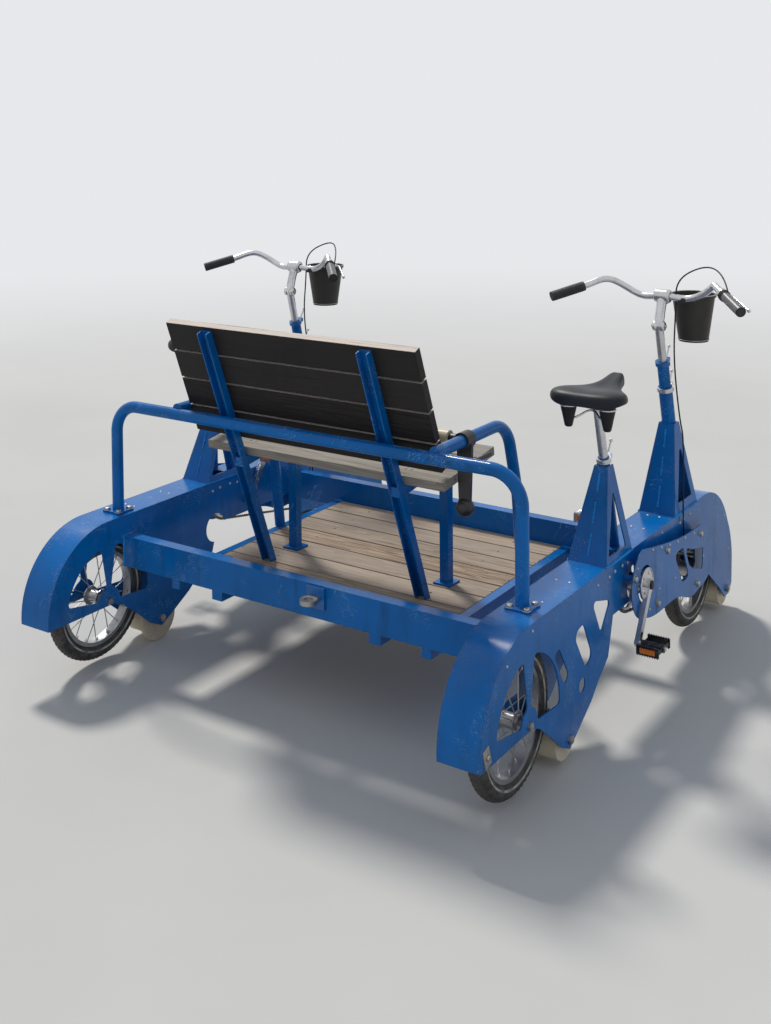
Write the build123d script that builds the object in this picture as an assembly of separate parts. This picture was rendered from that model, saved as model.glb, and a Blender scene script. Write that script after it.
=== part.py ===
import os
from math import atan2, cos, degrees, radians, sin

from build123d import *

os.makedirs("parts", exist_ok=True)

# Rail four-seater with pedals, in millimetres. The source works from the rear axle:
# x is across the track, y runs forward from the rear axle, z is above the rail.
wheel_x = 750
wheelbase = 1318
tyre_r = 197
rim_r = 152
axle_z = 197
axle_r = 6
running = 0.05

# The wheel boxes: two side plates, an edge strip between them, two pillars on top.
box_half = 61
plate_t = 4
box_top = 456
end_r = box_top - axle_z
edge_low = 182
sill_z = 305
nose_len = 285
nose_front = wheelbase + nose_len

# Guide rollers hang between the plates, one at each wheel.
roller_ahead = (241, 230)
roller_y = (roller_ahead[0], wheelbase + roller_ahead[1])
roller_z = 62
roller_r = 60
flange_r = 78
roller_axle_r = 8

# Row frame: middle of the overall length, and the lowest flange at z = 0.
tail_y = -end_r
mid_y = (roller_y[1] + flange_r + tail_y) / 2
lift = flange_r - roller_z

# Seat tube and handlebar column lean back alike.
lean = 15
post_r = 13.6
seat_tube_r = 17
quill_r = 14
column_r = 22.5
upper_column_r = 19

# Pedal drive: crank axis, chain ring and the front wheel's sprocket. chain_x is the ring's inner
# face, counted outwards from the middle of the wheel box.
crank_y, crank_z = 698, 353
crank_len = 170
crank_angle = 238
ring_r = 88
ring_teeth = 44
chain_x = 38
ring_t = 5
sprocket_r = 40
sprocket_teeth = 20
tooth_gap_r = 2.8
chain_pitch = 12.7
link_r = 4.2
link_t = 1.5
chain_roller_r = 3.8
chain_gap = 0.5
spindle_r = 9
shell_r = 22
pedal_pin_r = 6
pedal_w = 68
pedal_gap = 6

# Platform and bench. The deck lies between two low rails that run under the beams.
rail_half = 478
rail_w = 30
rail_h = 50
deck_top = 312
frame_top = 391
beam_h = 100
beam_d = 40
rear_beam_y = 68
front_beam_y = 965
plank_t = 26
plank_gap = 6
bench_half = 455
seat_half = 440
seat_rear = (205, 712)
seat_front = (505, 750)

sides = (("left", -1), ("right", 1))


def save(shape, node):
    export_step(Pos(0, -mid_y, lift) * shape, f"parts/{node}.step")


def slab(face, x0, x1):
    return Pos(x0, 0, 0) * extrude(face, x1 - x0, dir=(1, 0, 0))


def cylinder_x(r, x0, x1, y, z):
    disc = Plane.YZ * (Pos(y, z) * Circle(r))
    return slab(disc, x0, x1)


def box(x0, x1, y0, y1, z0, z1):
    return Pos((x0 + x1) / 2, (y0 + y1) / 2, (z0 + z1) / 2) * Box(x1 - x0, y1 - y0, z1 - z0)


def frustum(low, high, z0, z1):
    """A block between two rectangles, each (x0, x1, y0, y1)."""
    def corners(r, z):
        return [(r[0], r[2], z), (r[1], r[2], z), (r[1], r[3], z), (r[0], r[3], z)]
    a, b = corners(low, z0), corners(high, z1)
    quads = [a[::-1], b] + [[a[i], a[(i + 1) % 4], b[(i + 1) % 4], b[i]] for i in range(4)]
    faces = [Face(Wire.make_polygon([Vector(*p) for p in q], close=True)) for q in quads]
    return Solid(Shell(faces))


def tube(points, r, bend):
    path = FilletPolyline(*points, radius=bend)
    return sweep(Plane(origin=path @ 0, z_dir=path % 0) * Circle(r), path=path)


def leaning(x, y, z):
    """A frame whose z axis leans back like the seat tube, at a point."""
    return Plane(origin=(x, y, z), x_dir=(1, 0, 0), z_dir=(0, -sin(radians(lean)), cos(radians(lean))))


def rod(frame, r, low, high):
    return extrude(frame.offset(low) * Circle(r), high - low)


# Side plates. The outline is drawn once, in (y, z), and both plates share it.
tail_corner = (-(end_r ** 2 - (axle_z - edge_low) ** 2) ** 0.5, edge_low)
arc = end_r * sin(radians(45))
nose_angle = radians(25)
nose_bend = (wheelbase + end_r * cos(nose_angle), axle_z + end_r * sin(nose_angle))
tip_y, tip_z = roller_y[0], 35


def plate_line():
    rear_v = [(20, edge_low), (60, 165), (130, 110), (190, 60), (tip_y, tip_z), (290, 60),
              (380, 110), (430, 150), (500, 195), (535, sill_z)]
    roller = roller_y[1]
    front_v = [(985, sill_z), (1000, 215), (wheelbase - 30, edge_low - 2), (wheelbase + 20, edge_low),
               (wheelbase + 47, 165), (roller - 68, 80), (roller - 24, 38), (roller + 27, 38),
               (nose_front - 3, 70), (nose_front, 165)]
    line = ThreePointArc(tail_corner, (-arc, axle_z + arc), (0, box_top))
    line += Line((0, box_top), (wheelbase, box_top))
    top = (wheelbase + end_r * cos(radians(58)), axle_z + end_r * sin(radians(58)))
    line += ThreePointArc((wheelbase, box_top), top, nose_bend)
    line += ThreePointArc(nose_bend, (nose_front - 15, 240), (nose_front, 165))
    line += Polyline(tail_corner, *rear_v, *front_v)
    return line


plate_face = make_face(plate_line())


def sector(start, stop, inner, outer):
    steps = [start + (stop - start) * i / 2 for i in range(3)]
    def at(r, a):
        return (r * cos(radians(a)), axle_z + r * sin(radians(a)))
    line = ThreePointArc(*[at(outer, a) for a in steps])
    line += Line(at(outer, stop), at(inner, stop))
    line += ThreePointArc(*[at(inner, a) for a in steps[::-1]])
    line += Line(at(inner, start), at(outer, start))
    return make_face(line)


def rounded(points, r):
    face = make_face(Polyline(*points, close=True))
    return fillet(face.vertices(), r)


wheel_holes = [fillet(f.vertices(), 14) for f in (sector(100, 170, 46, 180), sector(-4, 80, 46, 180))]
trim_holes = [
    Pos(192, 280) * Rot(0, 0, -57) * SlotCenterToCenter(84, 34),
    rounded([(268, 338), (332, 350), (390, 242), (346, 218)], 22),
    Pos(322, 180) * Circle(20),
    rounded([(388, 392), (515, 356), (450, 280)], 12),
]
drive_hole = rounded([(1005, 365), (1090, 375), (1215, 330), (1225, 245), (1110, 228), (1040, 250)], 18)
crank_window = Pos(crank_y, crank_z) * Circle(58)
round_hole = Pos(524, 291) * Circle(50)
axle_points = [(0, axle_z, axle_r), (wheelbase, axle_z, axle_r)]
axle_points += [(y, roller_z, roller_axle_r) for y in roller_y]
axle_holes = [Pos(y, z) * Circle(r) for y, z, r in axle_points]

outer_face = plate_face - wheel_holes - trim_holes - [drive_hole, crank_window] - axle_holes
inner_face = plate_face - wheel_holes - [round_hole, Pos(crank_y, crank_z) * Circle(shell_r)] - axle_holes

# Pillars: (rear y, front y) at the foot and at the head, head height, tube radius, window.
pillars = {
    "seat": dict(foot=(490, 677), head=(590, 630), z=718, tube=seat_tube_r,
                 window=[(512, 478), (640, 478), (606, 640), (596, 640)]),
    "bar": dict(foot=(1035, 1238), head=(1120, 1162), z=735, tube=column_r,
                window=[(1072, 488), (1198, 488), (1152, 648), (1136, 648)]),
}
weld = 0.2


def pillar_block(p, half_low, half_high, grow=0):
    (y0, y1), (h0, h1) = p["foot"], p["head"]
    low = (-half_low, half_low, y0 - grow, y1 + grow)
    high = (-half_high, half_high, h0 - grow, h1 + grow)
    return frustum(low, high, box_top, p["z"])


def pillar_cheeks(p):
    head = p["tube"] + weld
    whole = pillar_block(p, box_half, head + plate_t)
    whole -= pillar_block(p, box_half - plate_t, head, grow=1)
    hole = slab(Plane.YZ * rounded(p["window"], 6), -box_half - 5, box_half + 5)
    return whole - hole


def pillar_walls(p, tube_shape, front):
    head = p["tube"] + weld
    whole = pillar_block(p, box_half - plate_t, head)
    whole -= pillar_block(p, box_half, head + 5, grow=-plate_t)
    whole -= tube_shape
    rear, front_wall = whole.solids().sort_by(Axis.Y)[0], whole.solids().sort_by(Axis.Y)[-1]
    return [rear, front_wall] if front else [rear]


seat_tube_foot = (0, 684, box_top)
seat_frame = leaning(*seat_tube_foot)
seat_tube_len = 296
column_head = (0, 1140, 735)
column_frame = leaning(*column_head)
column_low, column_step, column_top = -100, 130, 220

seat_bar = rod(seat_frame, seat_tube_r + weld, -40, 400)
column_bar = rod(column_frame, column_r + weld, column_low, 300)

# One wheel box, drawn for a box centred on x = 0 with its outer side towards +X.
cheeks = [pillar_cheeks(p) for p in pillars.values()]
outer_plate = slab(Plane.YZ * outer_face, box_half - plate_t, box_half)
inner_plate = slab(Plane.YZ * inner_face, -box_half, -box_half + plate_t)
for cheek in cheeks:
    inner_side, outer_side = cheek.solids().sort_by(Axis.X)
    outer_plate += outer_side
    inner_plate += inner_side
shell_end = chain_x - 8
shell = cylinder_x(shell_r, -box_half, shell_end, crank_y, crank_z)
shell -= cylinder_x(spindle_r + running, -box_half - 1, shell_end + 1, crank_y, crank_z)
inner_plate += shell

band = plate_face - offset(plate_face, -plate_t, kind=Kind.INTERSECTION)
inside_z = box_top - 4 * plate_t
beyond = 50
strip_ends = [(nose_front + beyond, 150), (nose_front - 33, 150), (nose_front - 63, 200),
              (wheelbase, inside_z), (0, inside_z), (tail_y + 59, edge_low)]
keep = make_face(Polyline((tail_y - beyond, edge_low), (tail_y - beyond, box_top + beyond),
                          (nose_front + beyond, box_top + beyond), *strip_ends, close=True))
pillar_gaps = [(pillars["seat"]["foot"][0] + 2, 640),
               (pillars["bar"]["foot"][0] + 2, pillars["bar"]["foot"][1] - 2)]
strip = slab(Plane.YZ * (band & keep), -box_half + plate_t, box_half - plate_t)
for y0, y1 in pillar_gaps:
    strip -= box(-box_half, box_half, y0, y1, box_top - 20, box_top + 20)
for wall in pillar_walls(pillars["seat"], seat_bar, False) + pillar_walls(pillars["bar"], column_bar, True):
    strip += wall
strip -= seat_bar

# Seat tube, its clamp, the bar column and its two collars, in one box.
seat_tube = rod(seat_frame, seat_tube_r, 0, seat_tube_len) & box(-50, 50, 0, 1500, box_top, 1500)
seat_tube -= rod(seat_frame, post_r + running, -60, seat_tube_len + 10)
column = rod(column_frame, column_r, column_low, column_step)
column += rod(column_frame, upper_column_r, column_step, column_top)
column -= rod(column_frame, quill_r + running, column_low + 12, column_top + 10)
clamp_wall = 5
lug_w, lug_len = 26, 14
lever_len, lever_r, lever_ball_r = 46, 3, 5.5


def clamp(frame, inner, low, height):
    """A split clamp with a lug in front and a quick-release lever that points forward and up."""
    outer = inner + clamp_wall
    front = outer + lug_len / 2
    body = rod(frame, outer, low, low + height)
    body += frame.offset(low + height / 2) * (Pos(0, front - 3) * Box(lug_w, lug_len, height))
    body -= rod(frame, inner, low - 1, low + height + 1)
    body -= frame.offset(low + height / 2) * (Pos(0, outer + lug_len / 2) * Box(2, lug_len + 8, height + 2))
    start = frame.offset(low + height / 2) * Pos(0, front) * Rot(-50, 0, 0)
    body += start * Pos(0, 0, lever_len / 2) * Cylinder(lever_r, lever_len)
    return body + start * Pos(0, 0, lever_len) * Sphere(lever_ball_r)


seat_clamp = clamp(seat_frame, seat_tube_r, seat_tube_len - 16, 14)
collars = [clamp(column_frame, column_r, column_step - 15, 14),
           clamp(column_frame, upper_column_r, column_top - 15, 14)]

# Chain guard: a plate on five stand-offs outside the outer plate.
guard_out = 33
guard_t = 3
guard_line = ThreePointArc((680, 460), (596, 352), (700, 248))
guard_line += Spline((680, 460), (850, 427), (1000, 406), (1150, 398))
guard_line += ThreePointArc((1150, 398), (1245, 370), (1290, 300))
guard_line += Line((1290, 300), (1290, 225))
guard_line += ThreePointArc((1290, 225), (1228, 196), (1160, 190))
guard_line += Spline((1160, 190), (1040, 200), (1000, 215), (860, 228), (700, 248))
guard_holes = [
    Pos(crank_y, crank_z) * Circle(54),
    rounded([(942, 368), (1018, 368), (1072, 258), (1012, 258)], 14),
    rounded([(1032, 366), (1100, 338), (1204, 316), (1200, 244), (1110, 272), (1072, 296)], 12),
]
guard_stands = ((620, 390), (800, 260), (880, 400), (1150, 212), (1180, 368))
guard_face = make_face(guard_line) - guard_holes
guard = slab(Plane.YZ * guard_face, box_half + guard_out - guard_t, box_half + guard_out)
for y, z in guard_stands:
    guard += cylinder_x(8, box_half, box_half + guard_out - guard_t, y, z)

# Chain: scalloped link plates either side of rollers, one closed loop round ring and sprocket.
chain_dy, chain_dz = wheelbase - crank_y, axle_z - crank_z
chain_span = (chain_dy ** 2 + chain_dz ** 2) ** 0.5


def loop(r1, r2):
    """The outline of a belt round the ring (r1) and the sprocket (r2), in (y, z)."""
    along = Vector(chain_dy, chain_dz) / chain_span
    normal = Vector(-along.Y, along.X)
    s = (r1 - r2) / chain_span
    c = (1 - s * s) ** 0.5
    hub1, hub2 = Vector(crank_y, crank_z), Vector(wheelbase, axle_z)
    up, down = along * s + normal * c, along * s - normal * c
    line = Line(hub1 + up * r1, hub2 + up * r2)
    line += ThreePointArc(hub2 + up * r2, hub2 + along * r2, hub2 + down * r2)
    line += Line(hub2 + down * r2, hub1 + down * r1)
    line += ThreePointArc(hub1 + down * r1, hub1 - along * r1, hub1 + up * r1)
    return line


def chain():
    off = chain_gap + link_r
    waist = link_r * 0.6
    middle = Wire(loop(ring_r + off, sprocket_r + off).edges())
    count = 2 * round(middle.length / chain_pitch / 2)
    pins = [middle.position_at(i / count) for i in range(count)]
    plate = make_face(loop(ring_r + off + waist, sprocket_r + off + waist))
    plate -= make_face(loop(ring_r + off - waist, sprocket_r + off - waist))
    plate += [Pos(p.X, p.Y) * Circle(link_r) for p in pins]
    x0, x1 = chain_x - 1, chain_x + ring_t + 1
    body = slab(Plane.YZ * plate, x0, x0 + link_t) + slab(Plane.YZ * plate, x1 - link_t, x1)
    rollers = Sketch() + [Pos(p.X, p.Y) * Circle(chain_roller_r) for p in pins]
    return body + slab(Plane.YZ * rollers, x0 + link_t, x1 - link_t)


def toothed(r, count, y, z):
    """A chain wheel blank with its tooth gaps cut."""
    centre = Pos(y, z)
    gap = Pos(r + 0.6, 0) * Circle(tooth_gap_r)
    gaps = [centre * Rot(0, 0, 360 / count * i) * gap for i in range(count)]
    return slab(Plane.YZ * (centre * Circle(r) - gaps), chain_x, chain_x + ring_t)


# Axles run through both plates with a nut each side.
nut_t = 10
axle_set = []
for y, z, r in axle_points:
    bar = cylinder_x(r, -box_half - nut_t, box_half + nut_t, y, z)
    hexagon = Plane.YZ * (Pos(y, z) * RegularPolygon(r + 5, 6))
    bar += slab(hexagon, -box_half - nut_t + 2, -box_half) + slab(hexagon, box_half, box_half + nut_t - 2)
    axle_set.append(bar)

# Wheels: rim, spokes and hub in one piece, the tyre on its own.
hub_half = 34
spokes = 18
spoke_r = 1.2


def wheel(y, hub_r, sprocket):
    body = cylinder_x(hub_r, -hub_half, hub_half, y, axle_z)
    for x in (-hub_half + 6, hub_half - 10):
        body += cylinder_x(hub_r + 10, x, x + 4, y, axle_z)
    rim = cylinder_x(rim_r, -17, 17, y, axle_z) - cylinder_x(rim_r - 12, -18, 18, y, axle_z)
    body += rim
    for i in range(spokes):
        x = (hub_half - 8) * (1 if i % 2 else -1)
        foot = (x - spoke_r, x + spoke_r, -spoke_r, spoke_r)
        head = (x * 0.1 - spoke_r, x * 0.1 + spoke_r, -spoke_r, spoke_r)
        spoke = frustum(foot, head, hub_r, rim_r - 6)
        body += Pos(0, y, axle_z) * Rot(360 / spokes * i, 0, 0) * spoke
    if sprocket:
        body += toothed(sprocket_r, sprocket_teeth, y, axle_z)
        body += cylinder_x(hub_r - 8, hub_half, chain_x, y, axle_z)
    bore = cylinder_x(axle_r + running, -box_half, box_half, y, axle_z)
    return body - bore


bead_half = 16
bead_gap = 0.3


def tyre(y):
    bead_r = rim_r + bead_gap
    edge = ThreePointArc((-bead_half, bead_r), (0, tyre_r), (bead_half, bead_r))
    section = Plane.XZ * make_face(edge + Line((bead_half, bead_r), (-bead_half, bead_r)))
    return Pos(0, y, axle_z) * revolve(section, Axis.X)


def roller(y):
    body = cylinder_x(roller_r, -34, 46, y, roller_z)
    body += cylinder_x(flange_r, -48, -36, y, roller_z)
    body += cylinder_x(roller_r + 4, -36, -34, y, roller_z)
    return body - cylinder_x(roller_axle_r + running, -60, 60, y, roller_z)


# Crankset at its rest angle. Outer arm at crank_angle, inner arm opposite.
arm_t = 14
outer_arm = box_half + guard_out + 6
inner_arm = -box_half - 9 - arm_t


def crank_pin(angle):
    a = radians(angle)
    return crank_y + crank_len * cos(a), crank_z + crank_len * sin(a)


def arm(x, angle):
    bar = Pos(crank_len / 2, 0) * Rectangle(crank_len, 22) + Circle(17) + Pos(crank_len, 0) * Circle(13)
    return slab(Plane.YZ * (Pos(crank_y, crank_z) * Rot(0, 0, angle) * bar), x, x + arm_t)


outer_pin, inner_pin = crank_pin(crank_angle), crank_pin(crank_angle + 180)
crank = cylinder_x(spindle_r, inner_arm, outer_arm + arm_t, crank_y, crank_z)
crank += arm(outer_arm, crank_angle) + arm(inner_arm, crank_angle + 180)
ring = toothed(ring_r, ring_teeth, crank_y, crank_z)
ring -= [cylinder_x(26, chain_x - 1, chain_x + ring_t + 1, crank_y + 55 * cos(radians(a)),
                    crank_z + 55 * sin(radians(a))) for a in range(36, 360, 72)]
crank += ring + cylinder_x(48, outer_arm - 5, outer_arm, crank_y, crank_z)
crank += cylinder_x(24, chain_x + ring_t, outer_arm - 5, crank_y, crank_z)
pin_reach = pedal_gap + pedal_w + 4
crank += cylinder_x(pedal_pin_r, outer_arm + arm_t, outer_arm + arm_t + pin_reach, *outer_pin)
crank += cylinder_x(pedal_pin_r, inner_arm - pin_reach, inner_arm, *inner_pin)


def pedal(x0, y, z):
    """Cage pedal: a barrel on the pin, two toothed side plates and two end bars."""
    x1 = x0 + pedal_w
    barrel = cylinder_x(12, x0, x1, y, z)
    for dy in (-46, 42):
        barrel += box(x0, x1, y + dy, y + dy + 4, z - 13, z + 13)
    for x in (x0 + 2, x1 - 6):
        barrel += box(x, x + 4, y - 44, y + 44, z - 6, z + 6)
    return barrel - cylinder_x(pedal_pin_r + running, x0 - 1, x1 + 1, y, z)


outer_pedal_x = outer_arm + arm_t + pedal_gap
inner_pedal_x = inner_arm - pedal_gap - pedal_w

# Saddle and post, at the height of the photographed nearest empty place.
post_low, post_high = 150, 482
post = rod(seat_frame, post_r, post_low, post_high)
saddle_tilt = 4
head_top = 12
post_top = seat_frame.origin + seat_frame.z_dir * post_high
post += Pos(post_top) * box(-22, 22, -20, 20, -14, head_top)


def saddle():
    half = [(-120, 0), (-118, 62), (-96, 104), (-60, 122), (-20, 112), (30, 72), (80, 40), (130, 27),
            (158, 16)]
    edge = [(x, y) for y, x in half] + [(0, 166)] + [(-x, y) for y, x in half[:0:-1]]
    body = extrude(make_face(Spline(*edge, periodic=True)), 62)
    top = [(-140, -1), (-140, 40), (-100, 56), (-40, 50), (30, 34), (100, 48), (150, 58), (180, 58),
           (180, -1)]
    body &= slab(Plane.YZ * make_face(Polyline(*top, close=True)), -200, 200)
    under = [(-90, -1), (-60, 22), (60, 14), (170, 34), (200, -1)]
    return body - slab(Plane.YZ * make_face(Polyline(*under, close=True)), -200, 200)


saddle_body = Pos(0, post_top.Y + 8, post_top.Z - 8) * Rot(saddle_tilt, 0, 0) * saddle() - post

# Handlebar: quill, stem and swept-back bar.
quill_low, quill_high = 60, 340
stem_head = column_frame.origin + column_frame.z_dir * quill_high
bar_y, bar_z, bar_r = 1085, 1160, 11
quill = rod(column_frame, quill_r, quill_low, quill_high)
stem_foot = stem_head - column_frame.z_dir * 30
stem = tube([stem_foot, stem_head, (0, bar_y, bar_z)], 13, 12)
half_bar = [(0, bar_y, bar_z), (78, 1104, bar_z - 6), (175, 1056, 1206), (225, 1006, 1190), (311, 908, 1156)]
grip_len = 118
grip_dir = (Vector(*half_bar[4]) - Vector(*half_bar[3])).normalized()
grip_start = Vector(*half_bar[4]) - grip_dir * grip_len


def across(v, sign):
    return Vector(sign * v.X, v.Y, v.Z)


half_bar = [Vector(*p) for p in half_bar[:3]] + [grip_start]
bar_points = [across(v, -1) for v in half_bar[:0:-1]] + half_bar
bar_path = Spline(*bar_points, tangents=[-across(grip_dir, -1), grip_dir])
bar = sweep(Plane(origin=bar_path @ 0, z_dir=bar_path % 0) * Circle(bar_r), path=bar_path)
clamp_x = 22
handlebar = quill + stem + bar + cylinder_x(20, -clamp_x, clamp_x, bar_y, bar_z)

# Bucket in front of the bar, on the rider's right.
bucket_at = (60, 1205)
bucket_top, bucket_h = bar_z - 4, 155
bucket_r, bucket_low_r, bucket_t = 70, 48, 3


def cone(r0, r1, z0, z1):
    x, y = bucket_at
    return Pos(x, y, (z0 + z1) / 2) * Cone(r0, r1, z1 - z0)


bucket = cone(bucket_low_r, bucket_r, bucket_top - bucket_h, bucket_top)
bucket -= cone(bucket_low_r - bucket_t, bucket_r - bucket_t, bucket_top - bucket_h + 4, bucket_top + 0.01)
rim_at = Pos(*bucket_at, bucket_top - 4)
bucket += rim_at * (Cylinder(bucket_r + 3, 8) - Cylinder(bucket_r - 1, 10))

bracket_half = 12
bracket = box(bucket_at[0] - bracket_half, bucket_at[0] + bracket_half,
              bar_y + 5, bucket_at[1] - bucket_r + 2, bar_z - 20, bar_z - 4)
hollow = cone(bucket_low_r - bucket_t, bucket_r - bucket_t, bucket_top - bucket_h, bucket_top)
bucket += bracket - handlebar - hollow


def grip(sign):
    frame = Plane(origin=across(grip_start, sign), z_dir=across(grip_dir, sign))
    return rod(frame, 16, 0, grip_len)


# Brake lever, shifter ring and cable, all at the right-hand grip of each bar.
cable_r = 2.5
lever_reach, blade_len, blade_r = 38, 104, 4
control_out = Vector(0.72, 0.63, -0.29).normalized()
lever_at = grip_start - grip_dir * 34
shifter_len, shifter_r = 15, 18


def along_grip(start):
    return Plane(origin=start, z_dir=grip_dir)


brake_lever = rod(along_grip(lever_at), bar_r + 5, 0, 16)
brake_root = lever_at + grip_dir * 8
brake_bend = brake_root + control_out * lever_reach
brake_lever += tube([brake_root, brake_bend, brake_bend + grip_dir * blade_len + control_out * 6], blade_r, 8)
brake_lever += Pos(brake_bend + grip_dir * blade_len + control_out * 6) * Sphere(blade_r + 2)
brake_lever = brake_lever - rod(along_grip(lever_at), bar_r, -30, 60) - handlebar
shifter = rod(along_grip(grip_start - grip_dir * (shifter_len + 0.4)), shifter_r, 0, shifter_len)
shifter -= rod(along_grip(lever_at), bar_r, -30, 60)

cable_x = 33
cable_foot_x = box_half + 7
cable_start = brake_root + control_out * 20 + Vector(0, 0, 7)
cable_points = [cable_start, cable_start + Vector(-30, 60, 45), (120, 1165, 1262), (cable_x, 1118, 1215),
                (cable_x, 1114, 1120), (cable_x, 1092, 960), (cable_x + 1, 1148, 745),
                (cable_foot_x - 2, 1100, 700), (cable_foot_x, 1085, 460), (cable_foot_x, 1100, 330)]
cable_bends = [18, 60, 40, 60, 60, 60, 20, 40]
cable = tube(cable_points, cable_r, cable_bends)


def mirrored(shape, side):
    return shape if side > 0 else mirror(shape, Plane.YZ)


def place(shape, side):
    return Pos(side * wheel_x, 0, 0) * mirrored(shape, side)


def pair(shapes):
    """The same pieces on both wheel boxes, as one node."""
    return Compound([place(s, side) for _, side in sides for s in shapes])


for name, side in sides:
    save(place(outer_plate, side), f"{name}_outer_plate")
    save(place(inner_plate, side), f"{name}_inner_plate")
    save(place(strip, side), f"{name}_edge_strip")
    save(place(crank, side), f"{name}_crankset")
    save(place(pedal(outer_pedal_x, *outer_pin), side), f"{name}_outer_pedal")
    save(place(pedal(inner_pedal_x, *inner_pin), side), f"{name}_inner_pedal")
    save(place(post, side), f"{name}_seatpost")
    save(place(saddle_body, side), f"{name}_saddle")
    shift = Pos(side * wheel_x, 0, 0)
    save(shift * handlebar, f"{name}_handlebar")
    save(shift * Compound([grip(-1), grip(1), shifter]), f"{name}_grips")
    save(shift * bucket, f"{name}_bucket")
    save(shift * brake_lever, f"{name}_brake_lever")
    save(shift * cable, f"{name}_cable")
    for where, y, hub_r, driven in (("rear", 0, 20, False), ("front", wheelbase, 32, True)):
        save(place(wheel(y, hub_r, driven), side), f"{where}_{name}_wheel")
        save(place(tyre(y), side), f"{where}_{name}_tyre")
    for where, y in zip(("rear", "front"), roller_y):
        save(place(roller(y), side), f"{where}_{name}_roller")

save(pair([seat_tube]), "seat_tubes")
save(pair([seat_clamp]), "seat_clamps")
save(pair([column]), "bar_columns")
save(pair(collars), "column_collars")
save(pair([guard]), "chain_guards")
save(pair([chain()]), "chains")
save(pair(axle_set), "axles")

# Platform: two beams from box to box, rails under them with a ledge for the planks, and bearers.
inner_wall = wheel_x - box_half
beam_low = frame_top - beam_h
front_face = front_beam_y + beam_d
ledge_t = 6


def beam(y):
    return box(-inner_wall, inner_wall, y, y + beam_d, beam_low, frame_top)


def under_beams(x0, x1, z_low, z_top):
    """A member from beam to beam that passes under both and rises to z_top between them."""
    low = box(x0, x1, rear_beam_y, front_face, z_low, min(z_top, beam_low))
    for y in (rear_beam_y, front_beam_y):
        low += box(x0, x1, y, y + beam_d, z_low, beam_low)
    return low + box(x0, x1, rear_beam_y + beam_d, front_beam_y, z_low, z_top)


rail = under_beams(rail_half - rail_w, rail_half, deck_top - rail_h, deck_top)
rail += box(rail_half - rail_w * 2, rail_half - rail_w, rear_beam_y + beam_d, front_beam_y,
            deck_top - plank_t - ledge_t, deck_top - plank_t)
upright_x = 292
bearer_w = 40
bearer_half = bearer_w / 2
bearer = under_beams(upright_x - bearer_half, upright_x + bearer_half, deck_top - rail_h, deck_top - plank_t)
save(beam(rear_beam_y), "rear_beam")
save(beam(front_beam_y), "front_beam")
save(Compound([mirrored(rail, side) for _, side in sides]), "inner_rails")
save(Compound([mirrored(bearer, side) for _, side in sides]), "deck_bearers")


def planks(x_half, length, count):
    """Planks side by side from y = 0 to length, with their tops at z = 0."""
    width = (length - plank_gap * (count - 1)) / count
    return [box(-x_half, x_half, i * (width + plank_gap), i * (width + plank_gap) + width, -plank_t, 0)
            for i in range(count)]


deck_y0, deck_y1 = rear_beam_y + beam_d + 2, front_beam_y - 2
deck = [Pos(0, deck_y0, deck_top) * p for p in planks(rail_half - rail_w - 2, deck_y1 - deck_y0, 8)]
save(Compound(deck), "deck_planks")

# The seat slopes down to the rear, and its three planks lie on the bench frames' bearers.
seat_rise = Vector(seat_front[0] - seat_rear[0], seat_front[1] - seat_rear[1])
seat_slope = degrees(atan2(seat_rise.Y, seat_rise.X))
seat_plane = Pos(0, *seat_rear) * Rot(seat_slope, 0, 0)
save(Compound([seat_plane * p for p in planks(seat_half, seat_rise.length, 3)]), "seat_planks")

# Bench back: four planks on two channels that lean back and run down to the deck.
back_foot = (172, 752)
back_head = (31, 1116)
back_rise = Vector(0, back_head[0] - back_foot[0], back_head[1] - back_foot[1])
back_plane = Plane(origin=(0, *back_foot), x_dir=(1, 0, 0), z_dir=back_rise)
back_count = 4
back_w = (back_rise.length - plank_gap * (back_count - 1)) / back_count
back_plank = Box(2 * bench_half, plank_t, back_w, align=(Align.CENTER, Align.MIN, Align.MIN))
save(Compound([back_plane * Pos(0, 0, i * (back_w + plank_gap)) * back_plank for i in range(back_count)]),
     "back_planks")

upright_w, upright_t, upright_d = 38, 4, 26
seat_bearer_h = 30
leg_w, leg_y = 30, (455, 485)
leg_top = seat_front[1] - plank_t - seat_bearer_h / 2 - 6
to_deck = (back_foot[1] - deck_top) * back_rise.length / back_rise.Z


def channel(x, low, high):
    """An open channel behind the back planks, its web against them."""
    length, hold = high - low, (Align.CENTER, Align.MAX, Align.MIN)
    whole = Box(upright_w, upright_d, length, align=hold)
    inside = Box(upright_w - 2 * upright_t, upright_d, length + 2, align=hold)
    return back_plane * Pos(x, 0, low) * (whole - Pos(0, -upright_t, -1) * inside)


above_deck = box(-1000, 1000, -500, 1000, deck_top, 2000)
frames = []
for _, side in sides:
    x = side * upright_x
    frame = channel(x, -to_deck - 40, back_rise.length - 10)
    frame += seat_plane * box(x - upright_w / 2, x + upright_w / 2, -30, seat_rise.length - 10,
                              -plank_t - seat_bearer_h, -plank_t)
    frame += box(x - leg_w / 2, x + leg_w / 2, *leg_y, deck_top, leg_top)
    foot_plate = box(x - leg_w, x + leg_w, leg_y[0] - 15, leg_y[1] + 15, deck_top, deck_top + ledge_t)
    frames.append((frame & above_deck) + foot_plate)
save(Compound(frames), "bench_frames")

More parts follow.
